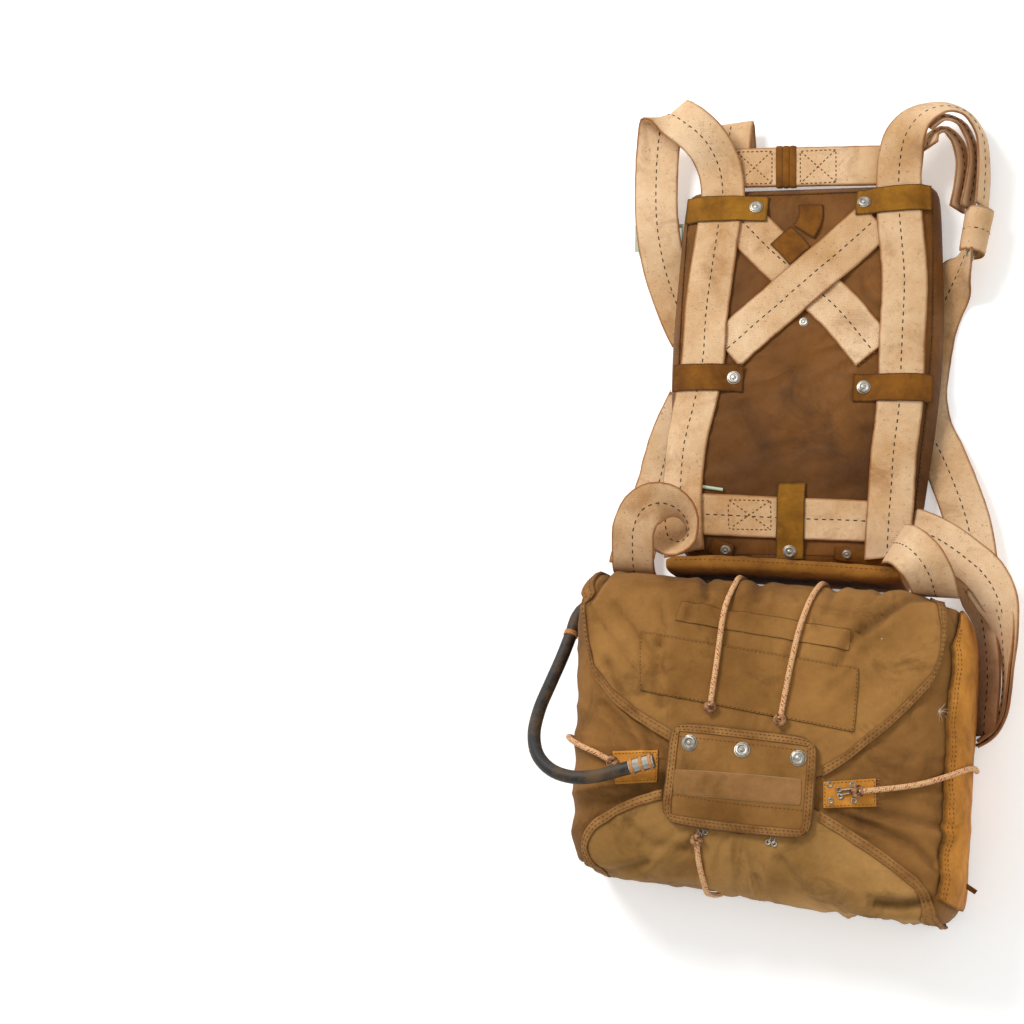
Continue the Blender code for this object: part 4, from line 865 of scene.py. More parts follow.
patches = {
    "label": [(-112.0, -123.0), (91.0, -159.0), (86.0, -217.0), (-110.0, -178.0)],
    "pinFlap": [(-79.0, -207.0), (54.0, -223.0), (47.0, -312.0), (-88.0, -297.0)],
    "panel": [(-78.0, -250.0), (40.0, -259.0), (39.0, -283.0), (-77.0, -273.0)],
    "pocket": [(-73.0, -98.0), (84.0, -125.0), (81.0, -143.0), (-78.0, -114.0)],
    "tabRight": [(58.0, -261.0), (105.0, -257.5), (105.0, -283.0), (58.0, -285.0)],
    "tabLeft": [(-136.0, -233.0), (-93.0, -232.0), (-94.0, -262.0), (-134.0, -264.0)],
}
pinBulge = 4.5


def makeFacePieces():
    low, high = lifts["label"]
    _, grid, normals = facePatch("labelPatch", ("label_patch",), patches["label"], low, high, 60, 22,
                                 "patchDuck", "duck", rounding=0.01)
    stitchFrame("tanThread", grid, normals, (0.05, 0.10), long=2.6, gap=1.2, wide=0.6)
    facePatch("pocketStrip", (), patches["pocket"], low - 0.1, low + 1.0, 44, 8, "cottonDuck", "duck")
    low, high = lifts["pinFlap"]
    _, grid, normals = facePatch("pinFlap", ("pin_flap",), patches["pinFlap"], low, high, 40, 30,
                                 "cottonDuck", "duck", pinBulge, 0.09)
    for inset in ((0.20, 0.22), (0.34, 0.62)):
        row = round(inset[1] * len(grid))
        stitchAlong("tanThread", grid[row][4:-4], normals[row][4:-4], long=2.6, gap=1.2, wide=0.6)
    makePinFlapBinding()
    makePinFlapPanel()
    for name, node, cells in (("tabRight", "tab_right", (18, 12)), ("tabLeft", "tab_left", (18, 12))):
        low, high = lifts["tab"]
        _, grid, normals = facePatch(name, (node,), patches[name], low, high, *cells,
                                     "mustardWebbing", "mustard")
        stitchFrame("tanThread", grid, normals, (0.12, 0.14), long=2.4, gap=1.0, wide=0.6)


def makePinFlapPanel():
    # Cloth rubbed pale over the flap's stiffener
    plantTree(bpy.data.objects["pinFlap"])
    frames, uvs = [], []
    for v in crowded(0.0, 1.0, 12):
        row = []
        for u in crowded(0.0, 1.0, 34):
            x, y = quadPlace(patches["panel"], *roundedShare(u, v, 0.03))
            z, square = lookDown(["pinFlap"], x, y)
            row.append((Vector((x, y, z)), square))
        frames.append(row)
        uvs.append([(frame[0].x, frame[0].y) for frame in row])
    frameSlab("pinFlapPanel", frames, -0.3, 0.9, uvs, edgeWear(12, 34), "rubbedDuck", ())


def makePinFlapBinding():
    # Tape folded round the pin flap's edge, mitred into round corners
    corners, inset = patches["pinFlap"], 8.0
    wide, tall = math.dist(corners[0], corners[1]), math.dist(corners[0], corners[3])
    us, vs = list(np.linspace(0.0, 1.0, 34)), list(np.linspace(0.0, 1.0, 24))
    loop = ([(u, 0.0) for u in us] + [(1.0, v) for v in vs[1:]]
            + [(u, 1.0) for u in us[-2::-1]] + [(0.0, v) for v in vs[-2:0:-1]])
    top = lifts["pinFlap"][1]
    section = [(-0.10, -2.6), (-0.12, -0.4), (0.0, 0.9), (0.3, 1.15), (0.5, 0.75), (0.7, 1.15),
               (0.97, 0.9), (1.0, -0.3), (0.5, -0.6)]
    points, squares = [], []
    for index, (u, v) in enumerate(loop):
        squareRow = []
        for share, height in section:
            a, b = (inset * share / wide, inset * share / tall)
            su, sv = a + u * (1 - 2 * a), b + v * (1 - 2 * b)
            ru, rv = roundedShare(su, sv, 0.09)
            point, square = faceFrame(*quadPlace(corners, ru, rv))
            rise = pinBulge * math.sin(math.pi * min(max(ru, 0), 1)) * math.sin(
                math.pi * min(max(rv, 0), 1))
            wave = 0.3 * noise.noise(Vector((index / 2.3, share, 1.0)))
            points.append(point + square * (top + height + rise + wave))
            squareRow.append(square)
        squares.append(squareRow)
    count, rings = len(section), len(loop)
    faces, uvs = [], []
    step = 2 * (wide + tall) / rings
    for i in range(rings):
        for k in range(count):
            n, m = (k + 1) % count, (i + 1) % rings
            faces.append((i * count + k, i * count + n, m * count + n, m * count + k))
            uvs.append([(k * 1.6, i * step), ((k + 1) * 1.6, i * step),
                        ((k + 1) * 1.6, (i + 1) * step), (k * 1.6, (i + 1) * step)])
    wear = [1.0 if k in (1, 2, 6, 7) else 0.2 for _ in range(rings) for k in range(count)]
    buildPiece("pinFlapBinding", points, faces, uvs, wear, "bindingTape", ("pin_flap_binding",))
    for k in (3, 5):
        path = [points[i * count + k] for i in range(rings)]
        path.append(path[0])
        normals = [squares[i % rings][k] for i in range(rings + 1)]
        stitchAlong("tanThread", path, normals, long=2.8, gap=1.2, wide=0.7)


def makeSideBand():
    # Mustard webbing down the pack's right wall; its upper end is folded to a point
    rows = [  # bearing, run of its inner edge, run of its outer edge
        (39.5, 60.0, 70.0), (36.5, 44.0, 105.0), (34.0, 30.0, 128.0), (29.0, 31.0, 132.0),
        (22.0, 31.0, 132.0), (14.0, 32.0, 132.0), (6.0, 32.0, 132.0), (-2.0, 32.0, 132.0),
        (-10.0, 32.0, 132.0), (-18.0, 31.0, 132.0), (-25.0, 30.0, 132.0), (-30.0, 29.0, 132.0)]
    bearings = np.linspace(39.5, -31.0, 90)
    frames, uvs, along, last = [], [], 0.0, None
    for bearing in bearings:
        known = [row[0] for row in rows[::-1]]
        inner = float(np.interp(bearing, known, [row[1] for row in rows[::-1]]))
        outer = float(np.interp(bearing, known, [row[2] for row in rows[::-1]]))
        inner += 0.8 * noise.noise(Vector((bearing, 0.0, 5.0)))
        runs = inner + (min(outer, wallEnd) - inner) * np.linspace(0.0, 1.0, 22)
        row = [packFrame(bearing, run) for run in runs]
        along += (row[6][0] - last).length if last else 0.0
        last = row[6][0]
        frames.append(row)
        uvs.append([(run, along) for run in runs])
    low, high = lifts["band"]
    rise = [[0.5 * noise.noise(Vector((uv[0] / 9, uv[1] / 26, 0.0))) for uv in row] for row in uvs]
    _, grid, normals = frameSlab("sideBand", frames, low, high, uvs,
                                 edgeWear(len(frames), 22, (1, 1, 1, 0)), "mustardWebbing",
                                 ("side_band",), rise)
    for share in (0.05, 0.085):
        stitchColumn("tanThread", grid[4:], normals[4:], share, long=3.0, gap=1.4, wide=0.7)


# Things that lie on other things: heights are read off the pieces already made

trees = {}


def plantTree(piece):
    mesh = piece.data
    trees[piece.name] = BVHTree.FromPolygons([v.co for v in mesh.vertices],
                                             [polygon.vertices for polygon in mesh.polygons])


def lookDown(names, x, y):
    # Height and normal of the top of some pieces at a place, or None beside them
    start = Vector(((x + planShift.x) * mm, (y + planShift.y) * mm, 1.0))
    best = None
    for name in names:
        point, normal, _, _ = trees[name].ray_cast(start, Vector((0.0, 0.0, -1.0)))
        if point is not None and (best is None or point.z / mm > best[0]):
            best = (point.z / mm, normal)
    return best


def stitchOver(thread, names, places, lift=0.0, **sizes):
    # Stitches along places seen from above, on the top of some pieces
    path, normals = [], []
    for (x1, y1), (x2, y2) in zip(places, places[1:]):
        count = max(2, int(math.dist((x1, y1), (x2, y2)) / 2.0))
        for t in np.linspace(0.0, 1.0, count, endpoint=False):
            path.append((x1 + (x2 - x1) * t, y1 + (y2 - y1) * t))
    path.append(places[-1])
    line = []
    for x, y in path:
        found = lookDown(names, x, y)
        if found:
            up = found[1] if found[1].z > 0 else -found[1]
            line.append(Vector((x, y, found[0] + lift)))
            normals.append(up)
    if len(line) > 2:
        stitchAlong(thread, line, normals, **sizes)


def boxStitch(thread, names, corners, **sizes):
    # A box of stitches with a cross in it
    stitchOver(thread, names, [*corners, corners[0]], **sizes)
    stitchOver(thread, names, [corners[0], corners[2]], **sizes)
    stitchOver(thread, names, [corners[1], corners[3]], **sizes)

# Cords: hose first, since it leaves the pack by itself

hoseLook = {
    "route": [
        (-179.4, -88.0, 40.0), (-184.0, -88.6, 40.4), (-190.0, -96.0, 42.5), (-195.0, -114.0, 48.5),
        (-201.5, -138.0, 58.0), (-209.5, -165.0, 71.0), (-216.0, -191.0, 86.0),
        (-217.0, -216.0, 101.0), (-208.0, -238.0, 117.0), (-191.0, -252.0, 128.0),
        (-170.0, -258.0, 134.0), (-148.0, -257.0, 136.5), (-127.0, -252.0, 138.5),
        (-117.0, -249.5, 139.0)],
    "diameter": 12.5,
    "threadBands": [0.13],              # shares of its length
    "ferruleBands": [(-114.0, -248.7, 139.1), (-105.0, -246.3, 139.4), (-96.5, -244.2, 139.5)],
}


def makeThreadBand(name, middle, way, radius, width):
    # A whipping of thread: a ring of turns round a hose
    way = Vector(way).normalized()
    side = way.orthogonal().normalized()
    up = way.cross(side)
    turns, points = 5, []
    for k in range(turns * 20 + 1):
        angle = 2 * math.pi * k / 20
        place = Vector(middle) + way * (width * (k / (turns * 20) - 0.5))
        points.append(place + (side * math.cos(angle) + up * math.sin(angle)) * radius)
    return buildTube(name, points, 0.6, 6, "orangeThread")


def makeHose():
    path = readRows(hoseLook["route"], 5.0)
    hose = buildTube("hoseTube", path, hoseLook["diameter"] / 2, 28, "rubberHose", ("hose",))
    for number, share in enumerate(hoseLook["threadBands"]):
        k = int(share * (len(path) - 1))
        makeThreadBand(
            f"hoseThread{number + 1}", path[k], path[k + 1] - path[k - 1], 6.6, 4.5)
    for number, place in enumerate(hoseLook["ferruleBands"]):
        makeThreadBand(f"ferruleThread{number + 1}", place, (1.0, 0.26, 0.03), 7.1, 2.2)


# Elastics over the pack

elastics = {  # places on the face, bearing at the wall, end above the foot, lift
    "elasticTopLeft": ("elastic_top_left",
                       [(-44.0, -193.0), (-39.0, -157.0), (-35.0, -120.0)], 94.0, 6.0, 2.1),
    "elasticTopRight": ("elastic_top_right",
                        [(20.0, -205.0), (27.0, -168.0), (36.0, -125.0)], 70.0, 6.0, 2.1),
    "elasticRight": ("elastic_right",
                     [(90.0, -270.0), (117.0, -267.0), (140.0, -264.0)], 5.0, 30.0, 0.6),
    "elasticLeft": ("elastic_left", [(-136.0, -243.0), (-146.0, -236.0)], 164.5, 30.0, 0.2),
    "elasticBottom": ("elastic_bottom", [(-57.0, -313.0)], 246.4, 6.0, 1.0),
}
elasticSize = {"diameter": 5.2, "ends": 7}


def makeElastics():
    radius = elasticSize["diameter"] / 2
    for name, (node, places, wallBearing, aboveFoot, lift) in elastics.items():
        over = lifts["over"][1] + lift + radius
        overWall = lifts["band"][1] + (0.6 if name == "elasticRight" else -0.8) + radius
        fine = [(places[0][0], places[0][1])]
        for one, two in zip(places, places[1:]):
            count = max(2, int(math.dist(one, two) / 6.0))
            fine += [(one[0] + (two[0] - one[0]) * k / count, one[1] + (two[1] - one[1]) * k / count)
                     for k in range(1, count + 1)]
        rows = []
        for x, y in fine:
            point, square = faceFrame(x, y)
            rows.append(point + square * over)
        x, y = places[-1]
        bearing = bearingOf(x, y, packShape["centre"]) % 360.0
        if wallBearing - bearing < -180.0:
            bearing -= 360.0
        last = wallEnd - aboveFoot
        first = math.hypot(x - packShape["centre"][0], y - packShape["centre"][1]) - (
            packReach(bearing) - rimInset)
        for run in [*np.arange(math.ceil(first + 5.0), last, 6.0), last]:
            turn = min((run - first) / 45.0, 1.0)
            point, square = packFrame(bearing + (wallBearing - bearing) * turn, run)
            rows.append(point + square * (over + (overWall - over) * turn))
        for _ in range(3):
            rows = [rows[0]] + [rows[k - 1].lerp(rows[k + 1], 0.5).lerp(rows[k], 0.4)
                                for k in range(1, len(rows) - 1)] + [rows[-1]]
        buildTube(name, rows, radius, 14, "braidedElastic", (node,))
        makeKnot(name + "Knot", rows[0], rows[0] - rows[1])


def makeKnot(name, middle, way):
    # An overhand knot as a thick turn of cord, and its frayed end
    way = Vector(way).normalized()
    up = Vector((0.0, 0.0, 1.0))
    side = way.cross(up).normalized()
    radius = elasticSize["diameter"] / 2
    path = []
    for k in range(25):
        angle = 2 * math.pi * k / 20
        path.append(Vector(middle) + way * (3.4 * math.cos(angle) + k * 0.06)
                    + side * 3.6 * math.sin(angle) + up * (1.1 * math.sin(2 * angle) + 0.8))
    buildTube(name, path, radius * 0.9, 10, "frayedCotton")
    frayOut(Vector(middle) + way * 4.0, way, elasticSize["ends"] * 2, 8.5, 0.4, 1.2)


frayStrands = {"frayedCotton": [], "paleThread": []}


def frayOut(place, way, count, length, radius, spread, thread="frayedCotton"):
    # Loose strands that fan out of a cut end
    way = Vector(way).normalized()
    for k in range(count):
        seed = Vector((place[0] / 3 + k * 1.7, place[1] / 3, k * 0.9))
        bend = noise.noise_vector(seed)
        bend.z = abs(bend.z) * 0.3
        first = (way + bend * spread).normalized()
        second = (first + noise.noise_vector(seed + Vector((5, 5, 5))) * spread * 1.6).normalized()
        second.z = min(second.z, 0.1)
        reach = length * (0.6 + 0.4 * abs(noise.noise(seed * 2)))
        one = Vector(place) + first * reach * 0.5
        frayStrands[thread].append(
            ([Vector(place) - way * 0.5, one, one + second * reach * 0.5], radius))


def layStrands(thread):
    # All loose strands of a thread as one piece of thin triangular tubes
    points, faces, corners = [], [], []
    for path, radius in frayStrands[thread]:
        line = [path[0], path[0].lerp(path[1], 0.6), path[1].lerp(path[2], 0.3), path[2]]
        start = len(points)
        for i, middle in enumerate(line):
            way = (line[min(i + 1, 3)] - line[max(i - 1, 0)]).normalized()
            side = way.orthogonal().normalized()
            up = way.cross(side)
            thin = radius * (1.0 - 0.22 * i)
            points += [middle + (side * math.cos(a) + up * math.sin(a)) * thin
                       for a in (0.0, 2.094, 4.189)]
        for i in range(3):
            for k in range(3):
                n = (k + 1) % 3
                faces.append((start + i * 3 + k, start + i * 3 + n, start + i * 3 + 3 + n,
                              start + i * 3 + 3 + k))
        faces += [(start + 2, start + 1, start), (start + 9, start + 10, start + 11)]
    corners = [[(0.0, 0.0)] * len(face) for face in faces]
    buildPiece(thread + "Strands", points, faces, corners, [0.0] * len(points), thread)
    print("loose strands of", thread + ":", len(frayStrands[thread]))


# Cushion and back pad

cushionLook = {
    "rows": [(-96.0, -52.9, 0), (-60.0, -52.7, 0), (0.0, -56.9, 0), (60.0, -61.9, 0), (124.0, -67.9, 0)],
    "halfDeep": 8.4, "high": 84.0, "fill": 0.6,
    "section": [(-0.75, 0.0), (0.0, 0.0), (0.75, 0.0), (1.0, 0.05), (1.0, 0.18), (1.0, 0.32),
                (0.98, 0.44), (0.88, 0.5), (0.98, 0.56), (1.0, 0.68), (0.99, 0.8), (0.9, 0.9),
                (0.66, 0.975), (0.3, 1.0), (-0.3, 1.0), (-0.66, 0.975), (-0.9, 0.9), (-1.0, 0.75),
                (-1.0, 0.5), (-1.0, 0.2), (-0.98, 0.05)],
}


def makeSeatCushion():
    path = readRows(cushionLook["rows"], 4.0)
    section = cushionLook["section"]
    count, rings = len(section), len(path)
    points = []
    for index, (x, y, _) in enumerate(path):
        end = min(index, rings - 1 - index)
        full = 0.72 + 0.28 * min(end / 3.0, 1.0) ** 0.6
        for u, v in section:
            puff = 0.9 * noise.fractal(Vector((x / 16, v * 3.0, u)), 0.8, 2.0, 3) * min(1.0, v * 4)
            points.append((x, y + (u * cushionLook["halfDeep"] + puff * u) * full,
                           max(0.0, v * cushionLook["high"] * (0.9 + 0.1 * full) + puff * 0.6)))
    faces, uvs = [], []
    for i in range(rings - 1):
        for k in range(count):
            n = (k + 1) % count
            faces.append((i * count + k, i * count + n, (i + 1) * count + n, (i + 1) * count + k))
    faces += [tuple(range(count)), tuple(range((rings - 1) * count, rings * count))]
    uvs = [[(points[v][0], points[v][1] + points[v][2]) for v in face] for face in faces]
    piece = buildPiece("seatCushion", points, faces, uvs, [0.0] * len(points), "cushionDuck",
                       ("seat_cushion",))
    for k in (10, 13):
        line = [Vector(points[i * count + k]) for i in range(2, rings - 2)]
        up = Vector((0.0, 0.2, 1.0))
        stitchAlong("tanThread", line, [up] * len(line), long=3.0, gap=1.6, wide=0.6)


padLook = {
    "corners": [(-90.0, 329.0), (158.0, 322.0), (162.0, 150.0), (130.0, -52.0), (-92.0, -42.0),
                (-108.0, 130.0)],
    "rounding": 22.0, "centre": (28.0, 150.0), "thick": 36.0, "edge": 14.0, "under": 3.9,
    "edgeRound": 30.0, "waist": (-22.0, 58.0, 0.42), "drop": 0.5,
    "fill": 0.45, "slack": 2.2, "folds": 2.3,
}
padReaches = reachTable(padLook["corners"], padLook["centre"], padLook["rounding"])


def padHeights(x, y):
    # Heights of the back pad's top and underside; past its edge, what webbing over it does
    bearing = bearingOf(x, y, padLook["centre"])
    reach = float(readReach(padReaches, bearing))
    inset = reach - math.hypot(x - padLook["centre"][0], y - padLook["centre"][1])
    if inset < 0.0:
        return padLook["edge"] + inset * padLook["drop"], None
    share = min(inset / padLook["edgeRound"], 1.0)
    swell = math.sqrt(1.0 - (1.0 - share) ** 2)
    middle, length, depth = padLook["waist"]
    hollow = 1.0 - depth * math.exp(-((y - middle) / length) ** 2)
    top = padLook["edge"] + (padLook["thick"] - padLook["edge"]) * swell * hollow
    slack = padLook["slack"] * noise.noise(Vector((x / 45, y / 45, 7.0)))
    fold = 1.0 - 2.4 * abs(noise.noise(Vector((x / 60 + y / 160, y / 17 - x / 90, 2.0))))
    small = 0.4 * noise.fractal(Vector((x / 13, y / 13, 5.0)), 0.9, 2.0, 3)
    top += min(share * 3, 1.0) * (slack + padLook["folds"] * fold * 0.7 - 0.4 + small)
    return top, padLook["under"] + (padLook["edge"] - padLook["under"]) * (1.0 - swell)


def makeBackPad():
    bearings = np.linspace(0.0, 360.0, 220, endpoint=False)
    insets = [0.0, 0.5, 1.5, 3.0, 5.0, 8.0, 12.0, 17.0, 23.0, 30.0]
    points = []

    def addRing(inset, top, scale=1.0):
        for bearing in bearings:
            radians = math.radians(bearing)
            r = (float(readReach(padReaches, bearing)) - inset) * scale
            r -= 0.7 * abs(noise.noise(Vector((bearing / 2.2, inset / 20, 1.0)))) * scale
            x = padLook["centre"][0] + r * math.cos(radians)
            y = padLook["centre"][1] + r * math.sin(radians)
            high, low = padHeights(x - 0.05 * math.cos(radians), y - 0.05 * math.sin(radians))
            points.append((x, y, high if top else low))

    for inset in insets[::-1]:
        addRing(inset, False)
    for inset in insets[1:]:
        addRing(inset, True)
    for scale in np.linspace(0.96, 0.03, 30):
        addRing(30.0, True, scale)
    count = len(bearings)
    rings = len(points) // count
    faces = []
    for i in range(rings - 1):
        for j in range(count):
            k = (j + 1) % count
            faces.append((i * count + j, i * count + k, (i + 1) * count + k, (i + 1) * count + j))
    for start in (0, (rings - 1) * count):
        points.append(tuple(sum(points[start + j][a] for j in range(count)) / count for a in range(3)))
        faces += [(len(points) - 1, start + j, start + (j + 1) % count) for j in range(count)]
    uvs = [[(points[v][0], points[v][1]) for v in face] for face in faces]
    wear = [0.9 if 6 * count < v < 14 * count else 0.0 for v in range(len(points))]
    piece = buildPiece("backPad", points, faces, uvs, wear, "padDuck", ("back_pad",))
    plantTree(piece)


def makePadBinding():
    # Tape folded round the back pad's edge
    bearings = np.linspace(0.0, 360.0, 240, endpoint=False)
    section = [(9.0, 0.3), (8.2, 1.0), (5.0, 1.1), (1.5, 1.2), (-0.9, 0.6), (-1.3, -1.5), (0.6, -2.6)]
    points, lines = [], []
    for index, bearing in enumerate(bearings):
        radians = math.radians(bearing)
        reach = float(readReach(padReaches, bearing))
        line = []
        for inset, lift in section:
            r = reach - inset
            held = max(inset, 0.06)
            x = padLook["centre"][0] + (reach - held) * math.cos(radians)
            y = padLook["centre"][1] + (reach - held) * math.sin(radians)
            wave = 0.3 * noise.noise(Vector((index / 2.0, inset / 4, 9.0)))
            line.append(Vector((padLook["centre"][0] + r * math.cos(radians),
                                padLook["centre"][1] + r * math.sin(radians),
                                padHeights(x, y)[0] + lift + wave)))
        points += line
        lines.append(line[1])
    count, rings = len(section), len(bearings)
    faces, uvs = [], []
    for i in range(rings):
        for k in range(count):
            n, m = (k + 1) % count, (i + 1) % rings
            faces.append((i * count + k, i * count + n, m * count + n, m * count + k))
            uvs.append([(k * 2.0, i * 5.0), (k * 2.0 + 2.0, i * 5.0), (k * 2.0 + 2.0, i * 5.0 + 5.0),
                        (k * 2.0, i * 5.0 + 5.0)])
    wear = [0.9 if k in (0, 1) else 0.3 for _ in range(rings) for k in range(count)]
    piece = buildPiece("backPadBinding", points, faces, uvs, wear, "padDuck")
    plantTree(piece)
    line = [lines[k % rings] * 1.0 for k in range(rings + 1)]
    stitchAlong("tanThread", line, [Vector((0.0, 0.0, 1.0))] * len(line), long=3.0, gap=1.4, wide=0.6)


# Webbing. Rows are x, y, z, turn, tilt and bed, as a strap is read along its middle

